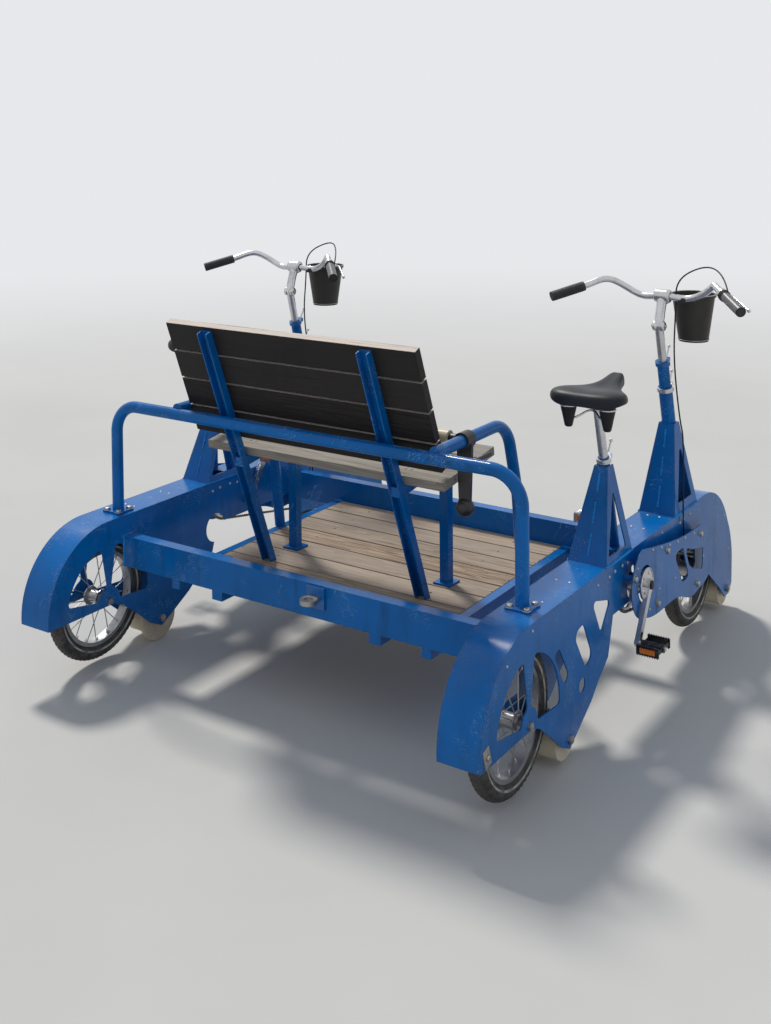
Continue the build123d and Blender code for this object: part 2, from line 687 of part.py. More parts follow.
# Rear rail: a hoop from box to box on foot plates.
rail_tube_r = 19
rear_rail_x, rear_rail_y, rear_rail_z = wheel_x - 8, 98, 812
rail_foot, foot_t = 35, 6
rail_bend = 90
hoop = [(-rear_rail_x, rear_rail_y, box_top), (-rear_rail_x, rear_rail_y, rear_rail_z),
        (rear_rail_x, rear_rail_y, rear_rail_z), (rear_rail_x, rear_rail_y, box_top)]
rear_rail = tube(hoop, rail_tube_r, rail_bend)
for _, side in sides:
    x = side * rear_rail_x
    rear_rail += box(x - rail_foot, x + rail_foot, rear_rail_y - rail_foot, rear_rail_y + rail_foot,
                     box_top, box_top + foot_t)
save(rear_rail, "rear_rail")

# Armrests run forward from the hoop and bend down to the inner rails.
arm_x, arm_r = 475, 18
arm_line = [(rear_rail_y, 828), (520, 828), (590, 590), (622, deck_top)]
arm_bends = [110, 300]
armrest = tube([(0, y, z) for y, z in arm_line], arm_r, arm_bends)
armrest -= cylinder_x(rail_tube_r, -60, 60, rear_rail_y, rear_rail_z)
armrest = armrest.solids().sort_by(Axis.Y)[-1] & box(-60, 60, 0, 900, deck_top, 1000)
save(Compound([Pos(side * arm_x, 0, 0) * armrest for _, side in sides]), "armrests")

# Front bar: a U of tube ahead of the front beam.
front_bar_x, front_bar_y, front_bar_r = 454, 1182, 17
front_bar_z = beam_low + front_bar_r + 1
front_bend = 50
front_u = [(-front_bar_x, front_face, front_bar_z), (-front_bar_x, front_bar_y, front_bar_z),
           (front_bar_x, front_bar_y, front_bar_z), (front_bar_x, front_face, front_bar_z)]
save(tube(front_u, front_bar_r, front_bend), "front_bar")

# Coupling eye on the rear beam.
eye_x, eye_z = 90, 355
eye_r, eye_hole, eye_t = 26, 13, 14
eye_reach, eye_shank, eye_plate, eye_plate_t = 40, 18, 32, 8
eye_y = rear_beam_y - eye_reach
eye = Pos(eye_x, eye_y, eye_z) * (Cylinder(eye_r, eye_t) - Cylinder(eye_hole, eye_t + 2))
eye += box(eye_x - eye_shank, eye_x + eye_shank, eye_y + eye_shank, rear_beam_y,
           eye_z - eye_t / 2, eye_z + eye_t / 2)
eye += box(eye_x - eye_plate, eye_x + eye_plate, rear_beam_y - eye_plate_t, rear_beam_y,
           eye_z - eye_plate, eye_z + eye_plate)
save(eye, "coupling_eye")

# Parking brake handle: a clamp on the right armrest, a lever with a knob below it, a rod and a grip.
handle_y, handle_z = 267, arm_line[0][1]
handle_low, knob_r = 633, 27
blade_t, blade_half = 12, 25
handle_grip_r, handle_grip_x = 21, (365, 425)
rod_r, rod_len = 6, 150
collar = Pos(arm_x, handle_y, handle_z) * Rot(90, 0, 0) * Cylinder(arm_r + 7, 44)
collar += cylinder_x(13, handle_grip_x[1] - 2, arm_x, handle_y, handle_z)
collar += cylinder_x(handle_grip_r, *handle_grip_x, handle_y, handle_z)
collar -= cylinder_x(handle_grip_r - 5, handle_grip_x[0] - 1, handle_grip_x[1] - 6, handle_y, handle_z)
blade_foot = blade_half * 0.7
blade_line = [(-blade_half, handle_z), (blade_half, handle_z),
              (blade_foot, handle_low), (-blade_foot, handle_low)]
blade = Plane.XZ * (Pos(arm_x, 0) * rounded(blade_line, 6))
blade = Pos(0, handle_y - blade_t / 2, 0) * extrude(blade, blade_t, dir=(0, 1, 0))
brake_handle = collar + blade + Pos(arm_x, handle_y, handle_low) * Sphere(knob_r)
brake_handle += Pos(arm_x, handle_y + rod_len / 2, handle_z - 75) * Rot(90, 0, 0) * Cylinder(rod_r, rod_len)
brake_handle -= Pos(arm_x, handle_y, handle_z) * Rot(90, 0, 0) * Cylinder(arm_r, 60)
save(brake_handle, "brake_handle")
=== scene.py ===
import math

import bmesh
import bpy
from mathutils import Matrix, Vector


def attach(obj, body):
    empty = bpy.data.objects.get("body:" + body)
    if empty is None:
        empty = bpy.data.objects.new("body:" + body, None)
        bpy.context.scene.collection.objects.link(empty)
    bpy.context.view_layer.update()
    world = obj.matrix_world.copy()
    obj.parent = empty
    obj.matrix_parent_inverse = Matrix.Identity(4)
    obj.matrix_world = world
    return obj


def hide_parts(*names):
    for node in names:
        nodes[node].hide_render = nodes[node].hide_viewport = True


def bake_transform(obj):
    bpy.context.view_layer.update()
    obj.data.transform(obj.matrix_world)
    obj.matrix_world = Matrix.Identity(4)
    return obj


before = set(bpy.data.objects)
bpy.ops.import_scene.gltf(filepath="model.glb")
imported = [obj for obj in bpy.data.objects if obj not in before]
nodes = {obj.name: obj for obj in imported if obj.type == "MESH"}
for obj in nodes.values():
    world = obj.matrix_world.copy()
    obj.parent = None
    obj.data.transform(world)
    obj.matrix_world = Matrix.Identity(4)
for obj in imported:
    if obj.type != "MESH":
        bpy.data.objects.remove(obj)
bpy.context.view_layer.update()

sideNames = (("left", -1), ("right", 1))

# the part's own sizes that several pieces share, in mm; y counts from the rear axle, z from the rail
middleY = 683.5  # where the scene has its origin
railUp = 16  # rail above the scene's floor
boxX = 750  # middle of a wheel box
boxHalf = 61
guardOut = 33  # chain guard's face from the box's
outerFace = boxX + boxHalf
innerFace = boxX - boxHalf
guardFace = outerFace + guardOut
boxTop = 456
deckTop = 312
axles = (("rear", 0), ("front", 1318))
axleHeight = 197


# from those mm to the scene's metres
def row(x, y, z):
    return Vector((x, y - middleY, z + railUp)) / 1000


# the same, with x counted from the middle of the box on side s
def boxRow(s, x, y, z):
    return row(s * boxX + x, y, z)


# camera: where the photographer stood, with a longer lens and the view shifted onto this one vehicle
view = {
    "stand": (2.2589, -3.5581, 1.7908),
    "yaw": 34.744,
    "pitch": -2.2155,
    "roll": -0.4894,
    "focalPx": 747.8,
    "enlarge": 1.7,
    "centrePx": (407, 720),
    "photoPx": (771, 1024),
    "sensor": 36,
}


def shown(name, data):
    obj = bpy.data.objects.new(name, data)
    bpy.context.scene.collection.objects.link(obj)
    return obj


def setCamera(v):
    yaw, pitch, roll = (math.radians(v[k]) for k in ("yaw", "pitch", "roll"))
    forward = Vector((-math.sin(yaw) * math.cos(pitch), math.cos(yaw) * math.cos(pitch), math.sin(pitch)))
    right = Vector((math.cos(yaw), math.sin(yaw), 0))
    up = right.cross(forward)
    right, up = (math.cos(roll) * right + math.sin(roll) * up, math.cos(roll) * up - math.sin(roll) * right)
    data = bpy.data.cameras.new("camera")
    wide, high = v["photoPx"]
    data.sensor_fit = "HORIZONTAL"
    data.sensor_width = v["sensor"]
    data.lens = v["sensor"] * v["focalPx"] * v["enlarge"] / wide
    data.shift_x = v["enlarge"] * (v["centrePx"][0] - wide / 2) / wide
    data.shift_y = v["enlarge"] * (high / 2 - v["centrePx"][1]) / wide
    data.clip_end = 100
    camera = shown("camera", data)
    turn = Matrix((right, up, -forward)).transposed().to_4x4()
    camera.matrix_world = Matrix.Translation(v["stand"]) @ turn
    bpy.context.scene.camera = camera


setCamera(view)
print("camera set")


# shader helpers: feed links a socket to another one, or sets it to a number or colour
def feed(socket, value):
    if isinstance(value, bpy.types.NodeSocket):
        socket.id_data.links.new(value, socket)
    else:
        socket.default_value = value


# a node with its properties and inputs set by name; i0, i1 and so on are inputs by number
def put(tree, kind, **values):
    node = tree.nodes.new(kind)
    for name, value in values.items():
        if hasattr(node, name) and name not in node.inputs:
            setattr(node, name, value)
        else:
            feed(node.inputs[int(name[1:]) if name[1:].isdigit() else name], value)
    return node


# the tree that the sockets among some values belong to
def treeOf(*values):
    return next(v.id_data for v in values if isinstance(v, bpy.types.NodeSocket))


def calc(operation, a, b=0.0):
    return put(treeOf(a, b), "ShaderNodeMath", operation=operation, i0=a, i1=b).outputs[0]


def plus(a, b):
    return calc("ADD", a, b)


def minus(a, b):
    return calc("SUBTRACT", a, b)


def times(a, b):
    return calc("MULTIPLY", a, b)


def most(a, b):
    return calc("MAXIMUM", a, b)


def vectorCalc(operation, a, b=(0, 0, 0)):
    node = put(a.id_data, "ShaderNodeVectorMath", operation=operation, i0=a, i1=b)
    return node.outputs["Value" if operation in ("DOT_PRODUCT", "LENGTH") else "Vector"]


def stretched(vector, x, y, z):
    return vectorCalc("MULTIPLY", vector, (x, y, z))


def axisOf(vector, axis):
    return put(vector.id_data, "ShaderNodeSeparateXYZ", Vector=vector).outputs[axis]


def ramp(factor, low, high):
    node = put(factor.id_data, "ShaderNodeMapRange", interpolation_type="SMOOTHSTEP", Value=factor)
    node.inputs["From Min"].default_value = low
    node.inputs["From Max"].default_value = high
    return node.outputs["Result"]


def noise(vector, scale, detail=2.0, rough=0.5, distort=0.0):
    return put(vector.id_data, "ShaderNodeTexNoise", Vector=vector, Scale=scale, Detail=detail,
               Roughness=rough, Distortion=distort).outputs["Fac"]


def cells(vector, scale):
    return put(vector.id_data, "ShaderNodeTexVoronoi", Vector=vector, Scale=scale).outputs["Distance"]


def bevelled(tree, radius, samples=3):
    return put(tree, "ShaderNodeBevel", samples=samples, Radius=radius).outputs[0]


def faceNormal(tree):
    return tree.nodes.new("ShaderNodeNewGeometry").outputs["Normal"]


def blend(factor, a, b, how="MIX"):
    tree = treeOf(factor, a, b)
    return put(tree, "ShaderNodeMix", data_type="RGBA", blend_type=how, i0=factor, i6=a, i7=b).outputs[2]


def scaled(colour, factor, extra=0.0):
    return [min(1, c * factor + extra) for c in colour[:3]] + [1]


# the colour times a grey factor
def shaded(colour, factor):
    grey = put(factor.id_data, "ShaderNodeCombineColor", Red=factor, Green=factor, Blue=factor)
    return blend(1.0, colour, grey.outputs[0], "MULTIPLY")


# the colour a little lighter and darker in patches, and the patches themselves
def mottled(where, colour, scale, amount):
    patch = noise(where, scale, 6.0, 0.6)
    light, dark = scaled(colour, 1 + amount), scaled(colour, 1 - amount)
    return blend(ramp(patch, 0.3, 0.7), dark, light), patch


# effects that several materials share; each group reads the position and puts out masks
def newGroup(name, ins, outs=("Mask",)):
    tree = bpy.data.node_groups.new(name, "ShaderNodeTree")
    tree.interface.new_socket("Vector", in_out="INPUT", socket_type="NodeSocketVector")
    for label, value in ins.items():
        tree.interface.new_socket(label, in_out="INPUT", socket_type="NodeSocketFloat").default_value = value
    for label in outs:
        tree.interface.new_socket(label, in_out="OUTPUT", socket_type="NodeSocketFloat")
    given = tree.nodes.new("NodeGroupInput").outputs
    return tree, given["Vector"], given, tree.nodes.new("NodeGroupOutput").inputs


def makeEdgeWear():
    tree, where, given, out = newGroup("edge wear", {"Width": 0.003, "Breakup": 60.0, "Amount": 0.5})
    bend = vectorCalc("DOT_PRODUCT", bevelled(tree, given["Width"]), faceNormal(tree))
    edge = ramp(minus(1.0, bend), 0.015, 0.16)
    broken = times(edge, ramp(noise(where, given["Breakup"], 5.0), 0.46, 0.62))
    feed(out["Mask"], times(broken, given["Amount"]))
    return tree


def makeScratches():
    tree, where, given, out = newGroup("scratches", {"Scale": 8.0, "Thin": 0.03})
    masks = []
    for turn, stretch in (((0.3, 0.9, 0.2), (1, 26, 9)), ((1.1, 0.1, 0.8), (30, 1.4, 8)),
                          ((0.2, 0.4, 2.1), (7, 3, 34))):
        rotate = put(tree, "ShaderNodeVectorRotate", rotation_type="EULER_XYZ", Vector=where, Rotation=turn)
        turned = rotate.outputs[0]
        streak = noise(stretched(turned, *stretch), given["Scale"])
        line = calc("ABSOLUTE", minus(streak, 0.5))
        thin = calc("LESS_THAN", line, times(given["Thin"], 0.25))
        masks.append(times(thin, ramp(noise(turned, given["Scale"], 3.0), 0.56, 0.66)))
    feed(out["Mask"], most(most(masks[0], masks[1]), masks[2]))
    return tree


def makeDust():
    tree, where, given, out = newGroup("settled dust", {"Amount": 0.4})
    cloud = noise(where, 5.0, 8.0, 0.62)
    upward, low = axisOf(faceNormal(tree), "Z"), axisOf(where, "Z")
    lies = times(ramp(upward, 0.2, 0.95), ramp(cloud, 0.4, 0.72))
    splash = times(ramp(low, 0.45, 0.02), ramp(cloud, 0.35, 0.75))
    speckles = ramp(noise(where, 240.0), 0.25, 0.6)
    speckled = times(most(lies, splash), speckles)
    feed(out["Mask"], times(speckled, given["Amount"]))
    return tree


# dirt that has run down the upright faces, fading in and out along its way
def makeRuns():
    tree, where, given, out = newGroup("dirt runs", {"Amount": 0.4})
    upright = ramp(calc("ABSOLUTE", axisOf(faceNormal(tree), "Z")), 0.6, 0.2)
    run = noise(stretched(where, 26, 26, 2.4), 1.0, 7.0, 0.62)
    patch = noise(where, 5.5, 7.0, 0.66)
    streaks = times(ramp(run, 0.48, 0.72), ramp(patch, 0.38, 0.6))
    blotch = times(ramp(patch, 0.56, 0.76), 0.7)
    both = times(most(streaks, blotch), upright)
    feed(out["Mask"], times(both, given["Amount"]))
    return tree


# wood grain along X; Board picks the plank, so that no two look alike
def makeGrain():
    tree, where, given, out = newGroup("wood grain", {"Board": 0.0}, ("Light", "Fibre", "Crack"))
    board = given["Board"]
    offset = put(tree, "ShaderNodeCombineXYZ", X=times(board, 7.31), Y=times(board, 1.7), Z=board)
    moved = vectorCalc("ADD", where, offset.outputs[0])
    fibre = noise(stretched(moved, 3, 130, 130), 1.6, 6.0, 0.65)
    rings = noise(stretched(moved, 0.9, 22, 22), 1.3, 3.0, distort=0.7)
    bands = calc("FRACT", times(rings, 9.0))
    crack = noise(stretched(moved, 1.6, 70, 70), 1.0, 4.0)
    feed(out["Light"], plus(times(bands, 0.45), times(fibre, 0.55)))
    feed(out["Fibre"], fibre)
    feed(out["Crack"], ramp(crack, 0.66, 0.72))
    return tree


groups = {"wear": makeEdgeWear(), "scratches": makeScratches(), "dust": makeDust(), "runs": makeRuns(),
          "grain": makeGrain()}


def useGroup(name, where, **values):
    return put(where.id_data, "ShaderNodeGroup", node_tree=groups[name], Vector=where, **values).outputs


def startMaterial(name):
    material = bpy.data.materials.new(name)
    material.use_nodes = True
    tree = material.node_tree
    where = tree.nodes.new("ShaderNodeTexCoord").outputs["Object"]
    return material, tree.nodes["Principled BSDF"], where


# a group's mask, and the colour with another one laid over it there
def overlay(name, where, colour, over, **values):
    mask = useGroup(name, where, **values)["Mask"]
    return blend(mask, colour, over), mask


def setShader(shader, values):
    for name, value in values.items():
        feed(shader.inputs[name], value)


def roundEdges(shader, height, strength, distance, radius=0.0012):
    tree = shader.id_data
    soft = bevelled(tree, radius)
    bump = put(tree, "ShaderNodeBump", Height=height, Strength=strength, Distance=distance, Normal=soft)
    feed(shader.inputs["Normal"], bump.outputs[0])


# materials
dustColour = (0.25, 0.21, 0.17, 1)
paint = {
    "colour": (0.0004, 0.118, 0.385, 1),
    "undercoat": (0.10, 0.19, 0.30, 1),
    "bare": (0.10, 0.07, 0.05, 1),
    "scratched": (0.2, 0.34, 0.55, 1),
    "dust": (0.22, 0.2, 0.17, 1),
    "grime": (0.006, 0.032, 0.075, 1),
    "wear": 0.75,
    "scratch": 0.045,
    "dustAmount": 0.2,
    "grimy": 0.5,
    "gloss": 0.19,
    "specular": 0.15,
    "coat": 0.05,
}


def makePaint(p):
    material, shader, where = startMaterial("blue paint")
    colour, patch = mottled(where, p["colour"], 2.2, 0.16)
    scratch = useGroup("scratches", where, Scale=6.0, Thin=p["scratch"])["Mask"]
    colour = blend(times(scratch, 0.65), colour, p["scratched"])
    colour, runs = overlay("runs", where, colour, p["grime"], Amount=p["grimy"])
    colour, wear = overlay("wear", where, colour, p["undercoat"], Width=0.0035, Breakup=48, Amount=p["wear"])
    chip = times(calc("LESS_THAN", cells(where, 46.0), 0.12),
                 calc("GREATER_THAN", noise(where, 4.0, 5.0), 0.62))
    colour = blend(most(ramp(wear, 0.55, 0.8), chip), colour, p["bare"])
    colour, dust = overlay("dust", where, colour, p["dust"], Amount=p["dustAmount"])
    rough = plus(times(patch, 0.16), p["gloss"] - 0.06)
    rough = plus(rough, times(runs, 0.35))
    rough = most(rough, times(most(dust, wear), 0.8))
    setShader(shader, {"Base Color": colour, "Roughness": rough, "Specular IOR Level": p["specular"],
                       "Coat Weight": p["coat"], "Coat Roughness": 0.12})
    peel = times(noise(where, 320.0, 1.0), 0.25)
    roundEdges(shader, minus(peel, most(wear, chip)), 0.3, 0.0006, 0.0018)
    return material


# planks lie side by side along one axis, 1 for Y and 2 for Z, from start and a pitch apart in mm
woods = {
    "deck": {"light": (0.46, 0.345, 0.25, 1), "dark": (0.19, 0.135, 0.095, 1), "rough": 0.82,
             "grey": (0.35, 0.295, 0.245, 1), "axis": 1, "start": 107, "pitch": 107.4},
    "seat": {"light": (0.33, 0.285, 0.23, 1), "dark": (0.16, 0.13, 0.1, 1), "rough": 0.78,
             "grey": (0.28, 0.265, 0.24, 1), "axis": 1, "start": 202, "pitch": 101.8},
    # the back's light tan on its upward-facing edges is partly sun-bleached wood and partly a painted
    # highlight where the top edges catch the sun
    "back": {"light": (0.018, 0.014, 0.013, 1), "dark": (0.008, 0.007, 0.006, 1), "rough": 0.55,
             "grey": (0.024, 0.021, 0.02, 1), "axis": 2, "start": 749, "pitch": 91.7,
             "bleachedAndLit": (0.62, 0.52, 0.45, 1)},
}


def makeWood(name, w):
    material, shader, where = startMaterial(name)
    start = row(0, w["start"], w["start"])[w["axis"]]
    along = minus(axisOf(where, "XYZ"[w["axis"]]), start)
    board = calc("FLOOR", calc("DIVIDE", along, w["pitch"] / 1000))
    grain = useGroup("grain", where, Board=board)
    colour = blend(ramp(grain["Light"], 0.28, 0.72), w["dark"], w["light"])
    which = put(board.id_data, "ShaderNodeTexWhiteNoise", noise_dimensions="1D", W=board)
    colour = blend(times(which.outputs["Value"], 0.75), colour, w["grey"])
    tint = put(board.id_data, "ShaderNodeTexWhiteNoise", noise_dimensions="1D", W=plus(board, 31.5))
    colour = shaded(colour, plus(times(tint.outputs["Value"], 0.3), 0.85))
    colour = blend(grain["Crack"], colour, scaled(w["dark"], 0.35))
    stain = ramp(noise(where, 4.0, 7.0, 0.65), 0.52, 0.75)
    colour = blend(times(stain, 0.45), colour, w["dark"])
    # upward-facing edges turn light tan: sun-bleaching and a painted highlight
    if "bleachedAndLit" in w:
        up = axisOf(bevelled(shader.id_data, 0.004, 4), "Z")
        bleachedAndLitTop = times(ramp(up, 0.45, 0.8), ramp(grain["Fibre"], 0.2, 0.5))
        colour = blend(times(bleachedAndLitTop, 0.9), colour, w["bleachedAndLit"])
    setShader(shader, {"Base Color": colour, "Roughness": w["rough"], "Specular IOR Level": 0.2})
    roundEdges(shader, minus(grain["Fibre"], grain["Crack"]), 0.55, 0.0012, 0.003)
    return material


# colour, roughness, grime and how much of it
metals = {
    "bar alloy": ((0.60, 0.60, 0.615, 1), 0.27, (0.16, 0.14, 0.12, 1), 0.25),
    "rim alloy": ((0.42, 0.42, 0.43, 1), 0.38, (0.10, 0.075, 0.055, 1), 0.6),
    "crank alloy": ((0.55, 0.55, 0.56, 1), 0.2, (0.12, 0.09, 0.07, 1), 0.35),
    "pedal black": ((0.045, 0.045, 0.05, 1), 0.36, (0.05, 0.04, 0.035, 1), 0.5),
    "pedal alloy": ((0.48, 0.48, 0.49, 1), 0.36, (0.08, 0.06, 0.045, 1), 0.5),
    "zinc steel": ((0.38, 0.38, 0.37, 1), 0.42, (0.16, 0.075, 0.035, 1), 0.55),
    "old steel": ((0.20, 0.18, 0.165, 1), 0.5, (0.10, 0.055, 0.03, 1), 0.8),
    "chain steel": ((0.13, 0.11, 0.095, 1), 0.4, (0.02, 0.016, 0.013, 1), 0.9),
}


def makeMetal(name, base, roughness, grime, grimy):
    material, shader, where = startMaterial(name)
    colour, patch = mottled(where, base, 9.0, 0.1)
    spread = noise(where, 34.0, 7.0, 0.7)
    dirty = times(ramp(spread, 0.5, 0.75), grimy)
    colour = blend(dirty, colour, grime)
    scratch = useGroup("scratches", where, Scale=22.0, Thin=0.06)["Mask"]
    colour = blend(times(scratch, 0.3), colour, (0.75, 0.75, 0.76, 1))
    rough = plus(times(dirty, 0.4), times(patch, 0.12))
    setShader(shader, {"Base Color": colour, "Metallic": minus(1.0, times(dirty, 0.8)),
                       "Roughness": plus(rough, roughness - 0.06)})
    brushed = noise(stretched(where, 60, 900, 900), 1.0)
    roundEdges(shader, plus(brushed, times(spread, 0.5)), 0.05, 0.0004, 0.0008)
    return material


# colour, roughness, pebbles to the metre, their depth, and dust
plastics = {
    "grip rubber": ((0.022, 0.022, 0.024, 1), 0.62, 420.0, 0.35, 0.25),
    "bucket plastic": ((0.042, 0.039, 0.034, 1), 0.42, 260.0, 0.15, 0.3),
    "saddle skin": ((0.015, 0.018, 0.025, 1), 0.4, 380.0, 0.4, 0.2),
    "roller plastic": ((0.58, 0.50, 0.36, 1), 0.55, 120.0, 0.12, 0.6),
    "cable jacket": ((0.012, 0.012, 0.013, 1), 0.4, 300.0, 0.05, 0.1),
    # a lighter blue than the frame's paint: a painted highlight along the seams and weld beads, which carry
    # the same blue paint
    "seam paint": ((0.012, 0.24, 0.62, 1), 0.2, 150.0, 0.02, 0.0),
    "crank cap": ((0.016, 0.016, 0.017, 1), 0.4, 300.0, 0.08, 0.4),
}


def makePlastic(name, base, roughness, pebbles, depth, dusty):
    material, shader, where = startMaterial(name)
    colour, patch = mottled(where, base, 7.0, 0.2)
    bright = scaled(base, 1.7, 0.03)
    colour, _ = overlay("wear", where, colour, bright, Width=0.002, Breakup=90.0, Amount=0.5)
    colour, dust = overlay("dust", where, colour, dustColour, Amount=dusty)
    rough = plus(times(patch, 0.15), roughness - 0.07)
    setShader(shader, {"Base Color": colour, "Roughness": most(rough, times(dust, 0.85)),
                       "Specular IOR Level": 0.2})
    roundEdges(shader, cells(where, pebbles), depth, 0.0006)
    return material


tyreLook = {"rubber": (0.028, 0.027, 0.026, 1), "worn": (0.10, 0.09, 0.08, 1),
            "stripe": (0.45, 0.43, 0.39, 1), "stripeFrom": 0.163, "stripeTo": 0.169}


# rubber with a light stripe round each sidewall, found from the distance to the axle
def makeTyre(name, centre, t):
    material, shader, where = startMaterial(name)
    fromAxle = stretched(vectorCalc("SUBTRACT", where, centre), 0, 1, 1)
    out = vectorCalc("LENGTH", fromAxle)
    stripe = times(calc("GREATER_THAN", out, t["stripeFrom"]),
                   calc("LESS_THAN", out, t["stripeTo"]))
    patch = noise(where, 26.0, 7.0, 0.7)
    colour = blend(ramp(patch, 0.4, 0.72), t["rubber"], t["worn"])
    colour = blend(times(stripe, ramp(patch, 0.72, 0.38)), colour, t["stripe"])
    colour = blend(times(ramp(out, 0.188, 0.197), 0.6), colour, t["worn"])
    setShader(shader, {"Base Color": colour, "Roughness": 0.78})
    ribs = calc("SINE", times(out, 2600.0))
    roundEdges(shader, plus(patch, times(ribs, 0.2)), 0.35, 0.0008)
    return material


def makeReflector():
    material, shader, where = startMaterial("orange reflector")
    prisms = cells(where, 420.0)
    colour = blend(prisms, (0.95, 0.30, 0.02, 1), (0.55, 0.09, 0.01, 1))
    setShader(shader, {"Base Color": colour, "Roughness": 0.16, "Coat Weight": 0.7})
    roundEdges(shader, prisms, 0.4, 0.0006)
    return material


# colour, metallic, roughness
tones = {
    "zinc": ((0.38, 0.38, 0.37, 1), 0.9, 0.42),
    "silver": ((0.60, 0.60, 0.615, 1), 0.95, 0.28),
    "blue": (paint["colour"], 0.0, 0.26),
    "black": ((0.014, 0.014, 0.016, 1), 0.0, 0.4),
    "cream": ((0.60, 0.50, 0.34, 1), 0.0, 0.45),
    "rubber": ((0.022, 0.022, 0.024, 1), 0.0, 0.62),
    "sleeve": ((0.085, 0.085, 0.09, 1), 0.0, 0.36),
}


# two finishes on one CAD node; inSecond builds the mask of the second from the position
def makeTwoTone(name, first, second, inSecond):
    material, shader, where = startMaterial(name)
    mask = inSecond(where)
    patches = noise(where, 14.0, 6.0, 0.65)
    colour = blend(mask, tones[first][0], tones[second][0])
    colour = shaded(colour, plus(times(patches, 0.4), 0.8))
    colour, _ = overlay("wear", where, colour, (0.2, 0.19, 0.18, 1), Width=0.0025, Breakup=90.0, Amount=0.5)
    colour, _ = overlay("dust", where, colour, dustColour, Amount=0.25)
    feed(shader.inputs["Base Color"], colour)
    for i, socket in ((1, "Metallic"), (2, "Roughness")):
        step = times(mask, tones[second][i] - tones[first][i])
        feed(shader.inputs[socket], plus(step, tones[first][i]))
    roundEdges(shader, patches, 0.15, 0.0005)
    return material


def beyond(where, axis, limit):
    return calc("GREATER_THAN", axisOf(where, axis), limit)


def eyePlate(where):
    return beyond(where, "Y", row(0, 59.6, 0).y)


def handleLever(where):
    return beyond(where, "X", 0.4255)


# the upper of the two collars, without the lever in front of it
def upperCollar(where):
    behindLever = minus(1.0, beyond(where, "Y", row(0, 1117, 0).y))
    return times(beyond(where, "Z", row(0, 0, 895).z), behindLever)


grip = {"start": (235.7, 993.8, 1185.8), "aim": Vector((0.638, -0.7275, -0.2524)), "long": 0.1155}


# the right-hand grip of the bar on side s, past the shifter ring
def gripSleeve(s):
    def mask(where):
        away = vectorCalc("SUBTRACT", where, boxRow(s, *grip["start"]))
        along = vectorCalc("DOT_PRODUCT", away, grip["aim"])
        past = calc("GREATER_THAN", along, -0.0002)
        before = calc("LESS_THAN", along, grip["long"])
        return times(times(past, before), beyond(where, "X", s * boxX / 1000))
    return mask


materials = {"paint": makePaint(paint), "reflector": makeReflector()}
materials["eye"] = makeTwoTone("eye and plate", "zinc", "blue", eyePlate)
materials["handle"] = makeTwoTone("handle and grip", "cream", "black", handleLever)
materials["collars"] = makeTwoTone("collars", "silver", "blue", upperCollar)
for side, s in sideNames:
    materials[side + " grips"] = makeTwoTone(side + " grips", "rubber", "sleeve", gripSleeve(s))
for name, w in woods.items():
    materials[name] = makeWood(name + " wood", w)
for name, m in metals.items():
    materials[name] = makeMetal(name, *m)
for name, p in plastics.items():
    materials[name] = makePlastic(name, *p)
for end, y in axles:
    materials[end + " tyre"] = makeTyre(end + " tyre", row(0, y, axleHeight), tyreLook)
print("materials made", len(materials))

# materials on the CAD nodes; the blue paint goes on whatever isn't listed
looks = {
    "seat_clamps": "bar alloy", "column_collars": "collars", "chains": "chain steel", "axles": "zinc steel",
    "deck_planks": "deck", "seat_planks": "seat", "back_planks": "back", "coupling_eye": "eye",
    "brake_handle": "handle",
}
sideLooks = {
    "crankset": "crank alloy", "outer_pedal": "pedal black", "inner_pedal": "pedal alloy",
    "saddle": "saddle skin", "seatpost": "bar alloy", "handlebar": "bar alloy",
    "brake_lever": "bar alloy", "bucket": "bucket plastic", "cable": "cable jacket",
}
for side, _ in sideNames:
    looks.update({f"{side}_{ending}": finish for ending, finish in sideLooks.items()})
    looks[side + "_grips"] = side + " grips"
    for end, _ in axles:
        looks.update({f"{end}_{side}_wheel": "rim alloy", f"{end}_{side}_tyre": end + " tyre",
                      f"{end}_{side}_roller": "roller plastic"})
for name, obj in nodes.items():
    material = materials[looks.get(name, "paint")]
    if not obj.material_slots:
        obj.data.materials.append(material)
    for slot in obj.material_slots:
        slot.material = material
print("nodes dressed", len(nodes))


# piece helpers
def addPiece(name, mesh, finish, body, smooth=True):
    obj = shown(name, mesh)
    mesh.materials.clear()
    mesh.materials.append(materials[finish])
    if smooth:
        mesh.polygons.foreach_set("use_smooth", [True] * len(mesh.polygons))
    if body is not None:
        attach(obj, body)
    return obj


def meshFrom(name, build):
    bm = bmesh.new()
    build(bm)
    bmesh.ops.recalc_face_normals(bm, faces=bm.faces)
    mesh = bpy.data.meshes.new(name)
    bm.to_mesh(mesh)
    bm.free()
    return mesh


# the object's mesh with its modifiers applied; the object itself is removed
def baked(obj):
    bpy.context.view_layer.update()
    graph = bpy.context.evaluated_depsgraph_get()
    mesh = bpy.data.meshes.new_from_object(obj.evaluated_get(graph))
    bpy.data.objects.remove(obj)
    return mesh


def tubeMesh(points, radius, resolution=6, sides=2, swell=None):
    data = bpy.data.curves.new("tube", "CURVE")
    data.dimensions = "3D"
    spline = data.splines.new("NURBS")
    spline.points.add(len(points) - 1)
    for i, at in enumerate(points):
        spline.points[i].co = (*at, 1)
        spline.points[i].radius = swell[i] if swell else 1.0
    spline.order_u = 3
    spline.use_endpoint_u = True
    spline.resolution_u = resolution
    data.bevel_depth = radius / 1000
    data.bevel_resolution = sides
    data.use_fill_caps = True
    return baked(shown("tube", data))


def joined(name, meshes):
    bm = bmesh.new()
    for mesh in meshes:
        bm.from_mesh(mesh)
    whole = bpy.data.meshes.new(name)
    bm.to_mesh(whole)
    bm.free()
    return whole


# quads between two rings of as many points
def band(bm, a, b):
    for i in range(len(a)):
        j = (i + 1) % len(a)
        bm.faces.new((a[i], a[j], b[j], b[i]))


